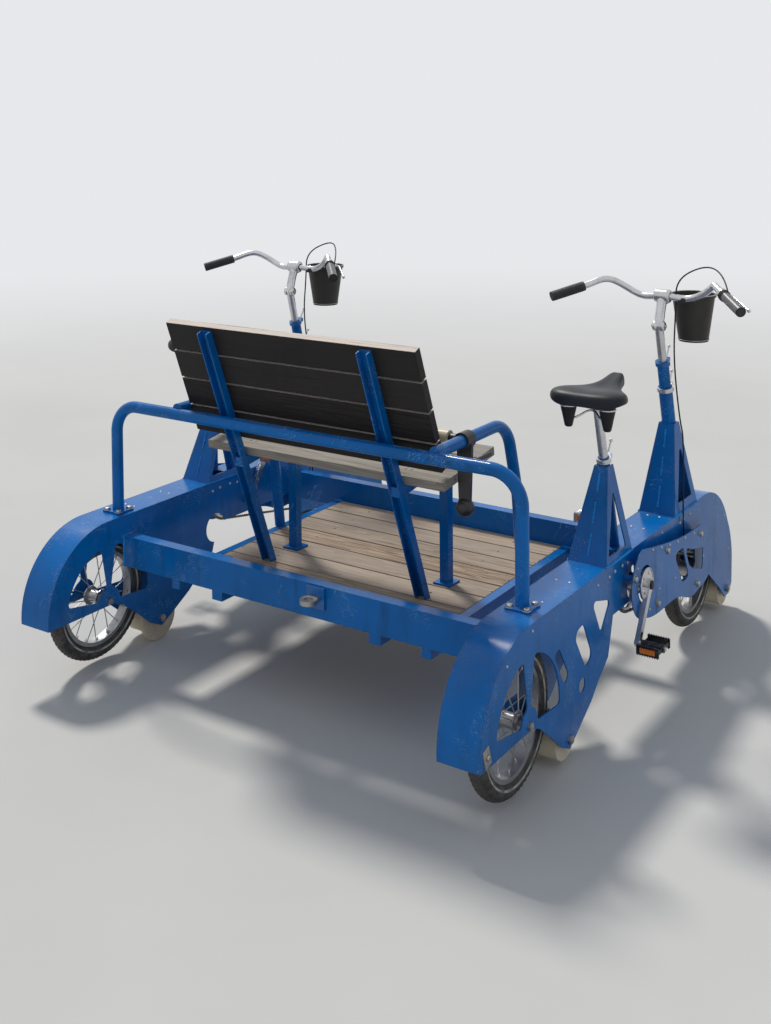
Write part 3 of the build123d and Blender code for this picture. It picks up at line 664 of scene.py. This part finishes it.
# shapes about Z, with their sizes in mm; circle adds one ring of points
def circle(bm, radius, height, steps):
    r, z = radius / 1000, height / 1000
    turns = [2 * math.pi * i / steps for i in range(steps)]
    return [bm.verts.new((r * math.cos(a), r * math.sin(a), z)) for a in turns]


# a profile of (radius, height) turned about Z; a radius of 0 closes it with one point
def spun(profile, steps):
    def build(bm):
        rings = [circle(bm, r, z, steps if r else 1) for r, z in profile]
        for low, high in zip(rings, rings[1:]):
            for i in range(steps):
                j = (i + 1) % steps
                quad = [low[i % len(low)], low[j % len(low)], high[j % len(high)], high[i % len(high)]]
                quad = list(dict.fromkeys(quad))
                if len(quad) > 2:
                    bm.faces.new(quad)
    return build


# a wire ring
def hoop(radius, thick, steps, sides=8):
    r, t = radius / 1000, thick / 1000

    def build(bm):
        rings = []
        for i in range(steps):
            a = 2 * math.pi * i / steps
            turns = [2 * math.pi * j / sides for j in range(sides)]
            places = [(r + t * math.cos(b), t * math.sin(b)) for b in turns]
            rings.append([bm.verts.new((out * math.cos(a), out * math.sin(a), up)) for out, up in places])
        for i in range(steps):
            low, high = rings[i], rings[(i + 1) % steps]
            for j in range(sides):
                k = (j + 1) % sides
                bm.faces.new((low[j], high[j], high[k], low[k]))
    return build


# a block standing on Z = 0, with its upper edges and corners chamfered
def block(long, wide, high, chamfer):
    def build(bm):
        bmesh.ops.create_cube(bm, size=1)
        bmesh.ops.scale(bm, vec=(long / 1000, wide / 1000, high / 1000), verts=bm.verts)
        bmesh.ops.translate(bm, vec=(0, 0, high / 2000), verts=bm.verts)
        edges = [e for e in bm.edges if max(v.co.z for v in e.verts) > high * 0.0009]
        bmesh.ops.bevel(bm, geom=edges, offset=chamfer / 1000, segments=2, affect="EDGES")
    return build


def hexHead(bm):
    spun([(12.5, 0), (12.5, 1.4), (11.8, 1.6), (11.8, 1.7)], 20)(bm)
    low, mid, cap = [circle(bm, r, z, 6) for r, z in ((8.8, 1.4), (8.8, 6.8), (7.4, 7.5))]
    band(bm, low, mid)
    band(bm, mid, cap)
    bm.faces.new(cap)


# the turn that brings Z onto aim and, where given, X as near as can be onto along
def facing(aim, along=None):
    z = Vector(aim).normalized()
    if along is None:
        return z.to_track_quat("Z", "Y").to_matrix().to_4x4()
    y = z.cross(Vector(along)).normalized()
    return Matrix((y.cross(z), y, z)).transposed().to_4x4()


# one mesh from rows of (build, point, aim) or (build, point, aim, along)
def assembled(name, items):
    def build(bm):
        for shape, at, *turn in items:
            single = bmesh.new()
            shape(single)
            bmesh.ops.transform(single, matrix=Matrix.Translation(at) @ facing(*turn), verts=single.verts)
            mesh = bpy.data.meshes.new("item")
            single.to_mesh(mesh)
            single.free()
            bm.from_mesh(mesh)
            bpy.data.meshes.remove(mesh)
    return meshFrom(name, build)


# puts a head on each point of a mesh, its Z along the point's aim and its X near the point's along
def makeScatterTree():
    tree = bpy.data.node_groups.new("heads on points", "GeometryNodeTree")
    for label, kind, value in (("Points", "Geometry", None), ("Head", "Object", None), ("Size", "Float", 1.0),
                               ("Uneven", "Float", 0.0), ("Seed", "Int", 3), ("Material", "Material", None)):
        socket = tree.interface.new_socket(label, in_out="INPUT", socket_type="NodeSocket" + kind)
        if value is not None:
            socket.default_value = value
    tree.interface.new_socket("Geometry", in_out="OUTPUT", socket_type="NodeSocketGeometry")
    given, out = tree.nodes.new("NodeGroupInput").outputs, tree.nodes.new("NodeGroupOutput").inputs

    def stored(label):
        return put(tree, "GeometryNodeInputNamedAttribute", data_type="FLOAT_VECTOR", Name=label).outputs[0]

    turn = put(tree, "FunctionNodeAlignRotationToVector", axis="Z", Vector=stored("aim"))
    spin = put(tree, "FunctionNodeAlignRotationToVector", axis="X", pivot_axis="Z",
               Rotation=turn.outputs["Rotation"], Vector=stored("along"))
    vary = put(tree, "FunctionNodeRandomValue", data_type="FLOAT")
    for label, operation in (("Min", "SUBTRACT"), ("Max", "ADD")):
        socket = next(s for s in vary.inputs if s.name == label and s.type == "VALUE")
        feed(socket, calc(operation, 1.0, given["Uneven"]))
    feed(next(s for s in vary.inputs if s.name == "Seed"), given["Seed"])
    factor = next(s for s in vary.outputs if s.type == "VALUE")
    info = put(tree, "GeometryNodeObjectInfo", Object=given["Head"])
    place = put(tree, "GeometryNodeInstanceOnPoints", Points=given["Points"],
                Instance=info.outputs["Geometry"], Rotation=spin.outputs["Rotation"],
                Scale=times(factor, given["Size"]))
    real = put(tree, "GeometryNodeRealizeInstances", i0=place.outputs[0])
    painted = put(tree, "GeometryNodeSetMaterial", Geometry=real.outputs[0], Material=given["Material"])
    feed(out[0], painted.outputs[0])
    return tree


scatterTree = makeScatterTree()


# spots are rows of (point, direction), with a second direction where the head's X matters
def scatter(name, spots, head, finish, body, size=1.0, uneven=0.0, seed=3):
    mesh = bpy.data.meshes.new(name)
    mesh.from_pydata([tuple(spot[0]) for spot in spots], [], [])
    for column, label in ((1, "aim"), (2, "along")):
        attribute = mesh.attributes.new(label, "FLOAT_VECTOR", "POINT")
        for i, spot in enumerate(spots):
            attribute.data[i].vector = tuple(spot[column]) if len(spot) > column else (0, 0, 0)
    obj = shown(name, mesh)
    modifier = obj.modifiers.new("heads", "NODES")
    modifier.node_group = scatterTree
    inputs = {"Head": head, "Size": size, "Uneven": uneven, "Seed": seed, "Material": materials[finish]}
    for item in scatterTree.interface.items_tree:
        if item.in_out == "INPUT" and item.name in inputs:
            modifier[item.identifier] = inputs[item.name]
    return addPiece(name, baked(obj), finish, body)


heads = []  # only scattered, so they are removed at the end


def headObject(name, build):
    obj = shown(name, meshFrom(name, build))
    obj.data.polygons.foreach_set("use_smooth", [True] * len(obj.data.polygons))
    heads.append(obj)
    return obj


rivetHead = headObject("rivet head", spun([(4.8, -0.2), (4.6, 0.8), (3.6, 1.8), (2, 2.5), (0, 2.8)], 14))
roundBolt = headObject("round bolt", spun([(9.5, -0.2), (9.2, 1.2), (7.5, 3), (4.5, 4.3), (0, 4.8)], 18))
hexBolt = headObject("hex bolt", hexHead)
weldDrop = headObject("weld drop", spun([(0.1, -2.2), (3, -1.4), (4.2, 0), (3, 1.8), (0, 2.4)], 8))

# rivets on the boxes and guards, hex bolts on the guards' stand-offs and round the rear hoop's feet
fixings = {
    "guardEdge": [(760, 436), (830, 423), (900, 411), (970, 401), (1035, 395)],
    "pillarFeet": [(510, 424), (550, 428), (605, 428), (645, 424), (1080, 425), (1112, 430), (1170, 430)],
    "standOffs": [(620, 390), (800, 260), (880, 400), (1150, 212), (1180, 368)],
    "hoopFoot": (742, 98, 462),
    "hoopSpread": (-25, 25),
    "rivetSize": 1.1,
}
spots = []
for _, s in sideNames:
    spots += [(row(s * guardFace, y, z), (s, 0, 0)) for y, z in fixings["guardEdge"]]
    for y, z in fixings["pillarFeet"]:
        spots += [(row(s * outerFace, y, z), (s, 0, 0)), (row(s * innerFace, y, z), (-s, 0, 0))]
scatter("chassis_rivets", spots, rivetHead, "zinc steel", "chassis", fixings["rivetSize"])

spots = []
for _, s in sideNames:
    spots += [(row(s * guardFace, y, z), (s, 0, 0)) for y, z in fixings["standOffs"]]
    x, y, z = fixings["hoopFoot"]
    for dx in fixings["hoopSpread"]:
        spots += [(row(s * x + dx, y + dy, z), (0, 0, 1)) for dy in fixings["hoopSpread"]]
scatter("frame_bolts", spots, hexBolt, "zinc steel", "chassis")

# coach bolts through the planks; the seat's line starts behind and the back's below
planks = {
    "deckX": (-440, -292, 292, 440),
    "benchX": (-302, -282, 282, 302),
    "deck": {"first": 160.7, "pitch": 107.4, "count": 8},
    "seat": {"from": (205, 712), "tilt": 7.22, "first": 50.2, "pitch": 102.8, "count": 3},
    "back": {"from": (172, 752), "to": (31, 1116), "first": 46.5, "pitch": 99.1, "count": 4, "thick": 26},
    "boltSize": 0.46,
}
deck, seat, back = planks["deck"], planks["seat"], planks["back"]
seatTilt = math.radians(seat["tilt"])
seatUp = Vector((0, -math.sin(seatTilt), math.cos(seatTilt)))
seatAlong = Vector((0, math.cos(seatTilt), math.sin(seatTilt)))
backAlong = Vector((0, back["to"][0] - back["from"][0], back["to"][1] - back["from"][1])).normalized()
backFront = Vector((0, backAlong.z, -backAlong.y))
spots = []
for x in planks["deckX"]:
    for i in range(deck["count"]):
        spots.append((row(x, deck["first"] + deck["pitch"] * i, deckTop), (0, 0, 1)))
for x in planks["benchX"]:
    for i in range(seat["count"]):
        along = (seat["first"] + seat["pitch"] * i) / 1000
        spots.append((row(x, *seat["from"]) + seatAlong * along, seatUp))
    for i in range(back["count"]):
        at = row(x, *back["from"]) + backAlong * ((back["first"] + back["pitch"] * i) / 1000)
        spots.append((at + backFront * (back["thick"] / 1000), backFront))
scatter("plank_bolts", spots, roundBolt, "old steel", "chassis", planks["boltSize"])
print("bolts and rivets set")

# weld beads where beams, rails and pillars meet the boxes
weld = {
    "step": 3.6,
    "size": 1.0,
    "uneven": 0.28,
    "seed": 11,
    "beams": (68, 965),  # rear edge of each beam
    "beamWide": 40,
    "beamZ": (291, 391),
    "railX": (448, 478),
    "railEnds": (108, 965),
    "pillarFeet": ((490, 677), (1035, 1238)),
}


def beadLine(a, b):
    a, b = Vector(a), Vector(b)
    count = max(2, int((b - a).length / weld["step"]))
    return [(row(*a.lerp(b, i / count)), (b - a).normalized()) for i in range(count + 1)]


spots = []
low, high = weld["beamZ"]
railIn, railOut = weld["railX"]
for _, s in sideNames:
    wall = s * innerFace
    for y in weld["beams"]:
        front = y + weld["beamWide"]
        spots += beadLine((wall, y, low), (wall, y, high)) + beadLine((wall, front, low), (wall, front, high))
        spots += beadLine((wall, y, high), (wall, front, high))
    for y in weld["railEnds"]:
        spots += beadLine((s * railIn, y, deckTop), (s * railOut, y, deckTop))
        spots += beadLine((s * railOut, y, low), (s * railOut, y, deckTop))
    for x in (innerFace, outerFace):
        for y0, y1 in weld["pillarFeet"]:
            spots += beadLine((s * x, y0, boxTop), (s * x, y1, boxTop))
# the beads take the lighter seam blue, a painted highlight
scatter("weld_beads", spots, weldDrop, "seam paint", "chassis", weld["size"], weld["uneven"], weld["seed"])
print("weld beads laid")

# saddles: a station is its place, half its width and the height of its top
saddleShape = {
    "at": (567.25, 913.6),
    "tilt": 4.0,
    "stations": [(-121, 40, 34), (-117, 80, 47), (-101, 108, 55), (-64, 121, 57), (-24, 108, 50),
                 (20, 76, 41), (64, 46, 39), (106, 32, 44), (142, 27, 51), (161, 16, 51)],
    "skirt": 38,
    "dip": 6,
    "dipped": (-90, 60),
    "railLine": [(52, -96, 24), (40, -70, 4), (22, -30, -2), (22, 30, 0), (18, 80, 12), (8, 118, 22)],
    "railRadius": 3.5,
}


def onSaddle(s, x, y, z):
    p = Matrix.Rotation(math.radians(saddleShape["tilt"]), 4, "X") @ Vector((x, y, z))
    return boxRow(s, p.x, saddleShape["at"][0] + p.y, saddleShape["at"][1] + p.z)


def saddleMesh(s, shape):
    def cage(bm):
        rings = []
        for y, half, top in shape["stations"]:
            skirt = min(shape["skirt"], top - 12)
            dip = shape["dip"] if shape["dipped"][0] < y < shape["dipped"][1] else 1
            across = [(0, -dip), (0.3, -dip * 0.4), (0.62, -0.5), (0.86, -4.5), (0.98, -13),
                      (1.0, -skirt * 0.75), (0.93, -skirt)]
            line = [(-u * half, top + z) for u, z in across[:0:-1]] + [(u * half, top + z) for u, z in across]
            line += [(half * 0.5, top - skirt + 4), (-half * 0.5, top - skirt + 4)]
            rings.append([bm.verts.new(onSaddle(s, x, y, z)) for x, z in line])
        for a, b in zip(rings, rings[1:]):
            band(bm, a, b)
        bm.faces.new(rings[0])
        bm.faces.new(rings[-1])
    obj = shown("saddle", meshFrom("saddle", cage))
    obj.modifiers.new("smooth", "SUBSURF").levels = 3
    return baked(obj)


for side, s in sideNames:
    saddle = addPiece(f"{side}_saddle_pad", saddleMesh(s, saddleShape), "saddle skin", f"{side}_saddle")
    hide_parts(f"{side}_saddle")
    lines = [[onSaddle(s, u * x, y, z) for x, y, z in saddleShape["railLine"]] for u in (-1, 1)]
    rails = [tubeMesh(line, saddleShape["railRadius"]) for line in lines]
    addPiece(f"{side}_saddle_rails", joined("rails", rails), "zinc steel", f"{side}_saddle")
print("saddles made")

# cables, one smooth line from each control to its box
cableRoute = {
    "radius": 2.5,
    "points": [(233.5, 1025.3, 1193.5), (203.5, 1085.3, 1238.5), (120, 1165, 1262), (33, 1118, 1215),
               (33, 1114, 1120), (33, 1092, 960), (34, 1148, 745), (66, 1100, 700), (68, 1085, 460),
               (68, 1100, 330)],
}
for side, s in sideNames:
    points = [boxRow(s, *point) for point in cableRoute["points"]]
    tube = tubeMesh(points, cableRoute["radius"], 10, 3)
    cable = addPiece(f"{side}_control_cable", tube, "cable jacket", None)
    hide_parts(f"{side}_cable")
    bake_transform(cable)
print("cables run")

# tyre tread, nipples and valves, placed in metres from the axle
wheel = {
    "treadCount": 62,
    "treadRows": (-50, -27, -9, 9, 27, 50),  # degrees round the tyre's section
    "treadRound": 0.1718,  # to the middle of the tyre's section
    "treadOut": 0.0252 - 0.0003,
    "spokes": 18,
    "nippleOut": 0.1405,
    "nippleAside": 0.0026,
    "valveTurn": 2.7,
}
treadBlock = headObject("tread block", block(8.5, 6.2, 1.4, 0.4))
nipple = headObject("nipple", spun([(2.6, -1), (2.6, 4), (1.8, 6), (1.6, 11), (0, 11)], 8))
valveShape = spun([(4.2, 0), (4.2, 4), (2.8, 6), (2.8, 22), (3.4, 23), (3.4, 31), (1.2, 33), (0, 33)], 12)


def outward(a):
    return Vector((0, math.cos(a), math.sin(a)))


for end, axleY in axles:
    for side, s in sideNames:
        hub = row(s * boxX, axleY, axleHeight)
        body = f"{end}_{side}_wheel"
        spots = []
        for i in range(wheel["treadCount"]):
            for j, lean in enumerate(wheel["treadRows"]):
                a = 2 * math.pi * (i + 0.5 * (j % 2)) / wheel["treadCount"]
                b = math.radians(lean)
                aim = outward(a) * math.cos(b) + Vector((math.sin(b), 0, 0))
                at = hub + outward(a) * wheel["treadRound"] + aim * wheel["treadOut"]
                spots.append((at, aim, Vector((0, -math.sin(a), math.cos(a)))))
        scatter(f"{end}_{side}_tread", spots, treadBlock, end + " tyre", body)
        spots = []
        for i in range(wheel["spokes"]):
            out = outward(2 * math.pi * i / wheel["spokes"] + math.pi / 2)
            aside = Vector((wheel["nippleAside"] * (1 if i % 2 else -1), 0, 0))
            spots.append((hub + out * wheel["nippleOut"] + aside, -out))
        scatter(f"{end}_{side}_nipples", spots, nipple, "bar alloy", body)
        out = outward(wheel["valveTurn"])
        valve = assembled("valve", [(valveShape, hub + out * wheel["nippleOut"], -out)])
        addPiece(f"{end}_{side}_valve", valve, "cable jacket", body)
print("tread, nipples and valves made")

# pedals: reflectors front and rear, and pointed teeth along the cage
pedals = {
    "outer": {"x": 904, "pin": (607.9, 208.8), "cage": "pedal black"},
    "inner": {"x": 626, "pin": (788.1, 497.2), "cage": "pedal alloy"},
    "lensOut": 46,
    "teeth": 9,
    "toothPitch": 7.4,
    "toothOut": 44,
    "toothUp": 13,
}
lensShape = block(46, 15, 3.5, 1.2)


def tooth(bm):
    corners = ((-1, -1), (1, -1), (1, 1), (-1, 1))
    low, top = [[bm.verts.new((u * x / 1000, v * y / 1000, z / 1000)) for u, v in corners]
                for x, y, z in ((3, 2, -0.5), (0.8, 1.4, 3.4))]
    bm.faces.new(low[::-1])
    bm.faces.new(top)
    band(bm, low, top)


for side, s in sideNames:
    for which in ("outer", "inner"):
        x, (y, z) = pedals[which]["x"], pedals[which]["pin"]
        lenses, teeth = [], []
        for d in (-1, 1):
            lenses.append((lensShape, row(s * x, y + d * pedals["lensOut"], z), (0, d, 0), (1, 0, 0)))
            for i in range(pedals["teeth"]):
                toothX = s * x + (i - (pedals["teeth"] - 1) / 2) * pedals["toothPitch"]
                for up in (-1, 1):
                    at = row(toothX, y + d * pedals["toothOut"], z + up * pedals["toothUp"])
                    teeth.append((tooth, at, (0, 0, up), (1, 0, 0)))
        name = f"{side}_{which}_pedal"
        addPiece(name + "_reflectors", assembled("lenses", lenses), "reflector", name, False)
        addPiece(name + "_teeth", assembled("teeth", teeth), pedals[which]["cage"], name, False)
print("pedals finished")

# cranks: black caps, a lip round the chrome disc, bolts on the disc
crank = {"at": (698, 353), "capOut": 864, "capIn": 666, "disc": 850, "lipX": 850.2, "lip": (46.2, 1.9),
         "boltCircle": 34, "boltTurns": range(58, 360, 72)}
capShape = spun([(13.5, -0.5), (13.5, 2), (12.2, 3.6), (8, 5), (3, 5.6), (0, 5.7)], 28)
discBolt = spun([(5.2, -0.3), (5.2, 2.2), (4.6, 3), (2.6, 3), (2.4, 1.2), (0, 1.2)], 16)
for side, s in sideNames:
    caps = [(capShape, row(s * crank["capOut"], *crank["at"]), (s, 0, 0)),
            (capShape, row(s * crank["capIn"], *crank["at"]), (-s, 0, 0))]
    addPiece(f"{side}_crank_caps", assembled("caps", caps), "crank cap", f"{side}_crankset")
    trim = [(hoop(*crank["lip"], 56), row(s * crank["lipX"], *crank["at"]), (1, 0, 0))]
    for turn in crank["boltTurns"]:
        a, out, (y, z) = math.radians(turn), crank["boltCircle"], crank["at"]
        at = row(s * crank["disc"], y + out * math.cos(a), z + out * math.sin(a))
        trim.append((discBolt, at, (s, 0, 0)))
    addPiece(f"{side}_crank_disc_trim", assembled("trim", trim), "bar alloy", f"{side}_crankset")
print("cranks finished")

# stems: a swelling neck between the hinge on the column and the barrel round the bar
stem = {
    "hinge": (1052, 1066),
    "barrel": (1085, 1160),
    "line": [(1051.5, 1067), (1056, 1087), (1064, 1112), (1074, 1136), (1082, 1154), (1087, 1163)],
    "radius": 14.8,
    "swell": [1.0, 1.08, 1.06, 1.08, 1.2, 1.25],
    "barrelBolts": (-13, 13),
    "boltsUnder": 1140.5,
    "hingeBolt": 19.5,
}
hingeShape = spun([(0, -19.5), (13.5, -19.5), (15.8, -17.5), (16.5, -13), (16.5, -7.5), (15.5, -7), (15.5, 7),
                   (16.5, 7.5), (16.5, 13), (15.8, 17.5), (13.5, 19.5), (0, 19.5)], 32)
barrelShape = spun([(11.5, -25.5), (19, -25.5), (21.2, -23), (21.6, -16), (21.6, 16), (21.2, 23), (19, 25.5),
                    (11.5, 25.5)], 36)
socketBolt = spun([(6.2, -1), (6.2, 3.8), (5.4, 4.8), (3, 4.8), (2.8, 1.8), (0, 1.8)], 18)
for side, s in sideNames:
    neck = tubeMesh([row(s * boxX, y, z) for y, z in stem["line"]], stem["radius"], 8, 5, stem["swell"])
    rounds = assembled("rounds", [(hingeShape, row(s * boxX, *stem["hinge"]), (1, 0, 0)),
                                  (barrelShape, row(s * boxX, *stem["barrel"]), (1, 0, 0))])
    addPiece(f"{side}_stem_casting", joined("stem", [neck, rounds]), "bar alloy", f"{side}_handlebar")

# handlebars: ribs along the left grip, rings round the right one's shifter, ends, bolts, bucket wires
gripLook = {
    "ribs": {"count": 15, "first": 12, "pitch": 6.9, "ring": (15.8, 0.9)},
    "shifter": {"count": 4, "first": -2.6, "pitch": -3.5, "ring": (17.6, 1.2)},
}
bucket = {"x": 60, "y": 1205, "rings": ((72.2, 1.6, 64, 1156.6), (49.8, 1.2, 48, 1007))}
hollowEnd = spun([(15.8, -0.2), (16.2, 1.2), (15.2, 2.6), (12.2, 2.7), (11.2, 0.6), (0, 0.4)], 28)
for side, s in sideNames:
    ribs, ends = [], []
    for d, kind in ((-1, "ribs"), (1, "shifter")):
        aim = Vector((d * grip["aim"].x, grip["aim"].y, grip["aim"].z))
        start = boxRow(s, d * grip["start"][0], grip["start"][1], grip["start"][2])
        g = gripLook[kind]
        for i in range(g["count"]):
            ribs.append((hoop(*g["ring"], 30, 6), start + aim * (g["first"] + g["pitch"] * i) / 1000, aim))
        ends.append((hollowEnd, start + aim * grip["long"], aim))
    bolts = [(socketBolt, boxRow(s, x, stem["barrel"][0], stem["boltsUnder"]), (0, 0, -1))
             for x in stem["barrelBolts"]]
    bolts += [(socketBolt, boxRow(s, d * stem["hingeBolt"], *stem["hinge"]), (d, 0, 0)) for d in (-1, 1)]
    wires = [(hoop(radius, thick, steps), boxRow(s, bucket["x"], bucket["y"], z), (0, 0, 1))
             for radius, thick, steps, z in bucket["rings"]]
    for name, items, finish in (("grip_ribs", ribs, "grip rubber"), ("grip_ends", ends, "grip rubber"),
                                ("stem_bolts", bolts, "zinc steel"), ("bucket_wire", wires, "zinc steel")):
        addPiece(f"{side}_{name}", assembled(name, items), finish, f"{side}_handlebar")
print("handlebars finished")

# stitched seams down the pillars
seams = {
    "lines": (((490, boxTop), (590, 718)), ((1035, boxTop), (1120, 735))),
    "stitches": ((0.08, 0.3), (0.42, 0.62), (0.74, 0.92)),
    "proud": 0.4,
    "size": 0.85,
    "uneven": 0.2,
    "seed": 17,
}
spots = []
for _, s in sideNames:
    for foot, top in seams["lines"]:
        low, high = [Vector((s * boxX, y - seams["proud"], z)) for y, z in (foot, top)]
        for a, b in seams["stitches"]:
            spots += beadLine(low.lerp(high, a), low.lerp(high, b))
# the stitches take the lighter seam blue, a painted highlight
scatter("pillar_seams", spots, weldDrop, "seam paint", "chassis", seams["size"], seams["uneven"],
        seams["seed"])

# pairs of rivets on the boxes' tops, single ones on their faces, and a bolted corner plate at each tail
boxRivets = {
    "topY": (734, 872, 1007, 160, 330),
    "topX": (-20, 20),
    "guard": ((735, 262), (806, 250), (947, 291), (813, 300), (1121, 386), (1208, 285), (640, 415)),
    "box": ((923, 436), (20, 436), (-120, 395), (430, 425), (1400, 425), (1520, 330), (1560, 200)),
    "size": 0.9,
}
spots = []
for _, s in sideNames:
    for y in boxRivets["topY"]:
        spots += [(boxRow(s, x, y, boxTop), (0, 0, 1)) for x in boxRivets["topX"]]
    for face, places in ((guardFace, boxRivets["guard"]), (outerFace, boxRivets["box"])):
        spots += [(row(s * face, y, z), (s, 0, 0)) for y, z in places]
scatter("box_rivets", spots, rivetHead, "zinc steel", "chassis", boxRivets["size"])

tail = {"plate": (50, 32, 3, 0.8), "y": -228, "z": 212, "lean": (0, -0.3, 1), "boltZ": 214, "boltSize": 0.8}
tabShape = block(*tail["plate"])
tabs = [(tabShape, row(s * outerFace, tail["y"], tail["z"]), (s, 0, 0), tail["lean"]) for _, s in sideNames]
addPiece("tail_tabs", assembled("tabs", tabs), "zinc steel", "chassis", False)
tabFace = outerFace + tail["plate"][2]
spots = [(row(s * tabFace, tail["y"], tail["boltZ"]), (s, 0, 0)) for _, s in sideNames]
scatter("tail_bolts", spots, hexBolt, "zinc steel", "chassis", tail["boltSize"])
print("seams and rivets laid")

# saddle springs: a rubber cone with two bright rings under each rear side, and the bridge between them
springs = {"side": 60, "back": -70, "top": 6, "rings": (8.5, -2.5), "bridge": (-66, -44, 0, 44, 66),
           "low": -38, "middle": (0, -34, -6), "radius": 3.2}
coneShape = spun([(0, -66), (8.5, -66), (11.5, -63), (14.5, -50), (18.5, -30), (22.8, -12), (23.8, -2),
                  (24.2, 6), (23.6, 14), (0, 14)], 32)
ringShape = spun([(21, -2.6), (25.2, -2.6), (26.2, -1.4), (26.2, 1.4), (25.2, 2.6), (21, 2.6)], 40)
for side, s in sideNames:
    cones, rings = [], []
    for d in (-1, 1):
        at = onSaddle(s, d * springs["side"], springs["back"], springs["top"])
        cones.append((coneShape, at, (0, 0, 1)))
        rings += [(ringShape, at + Vector((0, 0, rise / 1000)), (0, 0, 1)) for rise in springs["rings"]]
    addPiece(f"{side}_saddle_cones", assembled("cones", cones), "crank cap", f"{side}_saddle")
    line = [onSaddle(s, x, springs["back"], springs["low"]) for x in springs["bridge"]]
    line[2] = onSaddle(s, *springs["middle"])
    bridge = tubeMesh(line, springs["radius"], 8)
    addPiece(f"{side}_saddle_springs", joined("springs", [bridge, assembled("rings", rings)]), "bar alloy",
             f"{side}_saddle")
print("saddle springs made")

# light and backdrop
stage = {
    "sun": 2.65,
    "sunFrom": (-0.62, 0.36, 0.95),
    "sunColour": (1.0, 0.97, 0.91),
    "sunWide": 9,
    "sky": 0.57,
    "skyColour": (0.80, 0.88, 1.0, 1),
    "floor": (0.52, 0.51, 0.49, 1),
    "floorHalf": 30,
    "fade": (3.0, 11.0),  # where the floor turns into the backdrop
    "backdrop": (0.80, 0.81, 0.83, 1),
}


# rays that the camera sees straight on, mirrored or through something clear
def seenRays(tree):
    path = tree.nodes.new("ShaderNodeLightPath").outputs
    return most(path["Is Camera Ray"], most(path["Is Glossy Ray"], path["Is Transmission Ray"]))


def makeFloor(s):
    half = s["floorHalf"]
    corners = ((-half, -half, 0), (half, -half, 0), (half, half, 0), (-half, half, 0))
    mesh = meshFrom("floor", lambda bm: bm.faces.new([bm.verts.new(p) for p in corners]))
    floor = shown("floor", mesh)
    material, shader, where = startMaterial("floor")
    setShader(shader, {"Base Color": mottled(where, s["floor"], 0.7, 0.03)[0], "Roughness": 0.9})
    far = ramp(vectorCalc("LENGTH", where), *s["fade"])
    tree = material.node_tree
    glow = put(tree, "ShaderNodeEmission", Color=s["backdrop"])
    mixed = put(tree, "ShaderNodeMixShader", i0=times(far, seenRays(tree)), i1=shader.outputs[0],
                i2=glow.outputs[0])
    feed(tree.nodes["Material Output"].inputs["Surface"], mixed.outputs[0])
    mesh.materials.append(material)


def makeLight(s):
    data = bpy.data.lights.new("sun", "SUN")
    data.energy = s["sun"]
    data.angle = math.radians(s["sunWide"])
    data.color = s["sunColour"]
    sun = shown("sun", data)
    sun.rotation_mode = "QUATERNION"
    sun.rotation_quaternion = Vector(s["sunFrom"]).to_track_quat("Z", "Y")
    world = bpy.data.worlds.new("sky")
    bpy.context.scene.world = world
    world.use_nodes = True
    tree = world.node_tree
    seen = [c / s["sky"] for c in s["backdrop"][:3]] + [1]
    colour = blend(seenRays(tree), s["skyColour"], seen)
    setShader(tree.nodes["Background"], {"Color": colour, "Strength": s["sky"]})


makeFloor(stage)
makeLight(stage)
bpy.context.scene.view_settings.view_transform = "Standard"
for head in heads:
    bpy.data.objects.remove(head)
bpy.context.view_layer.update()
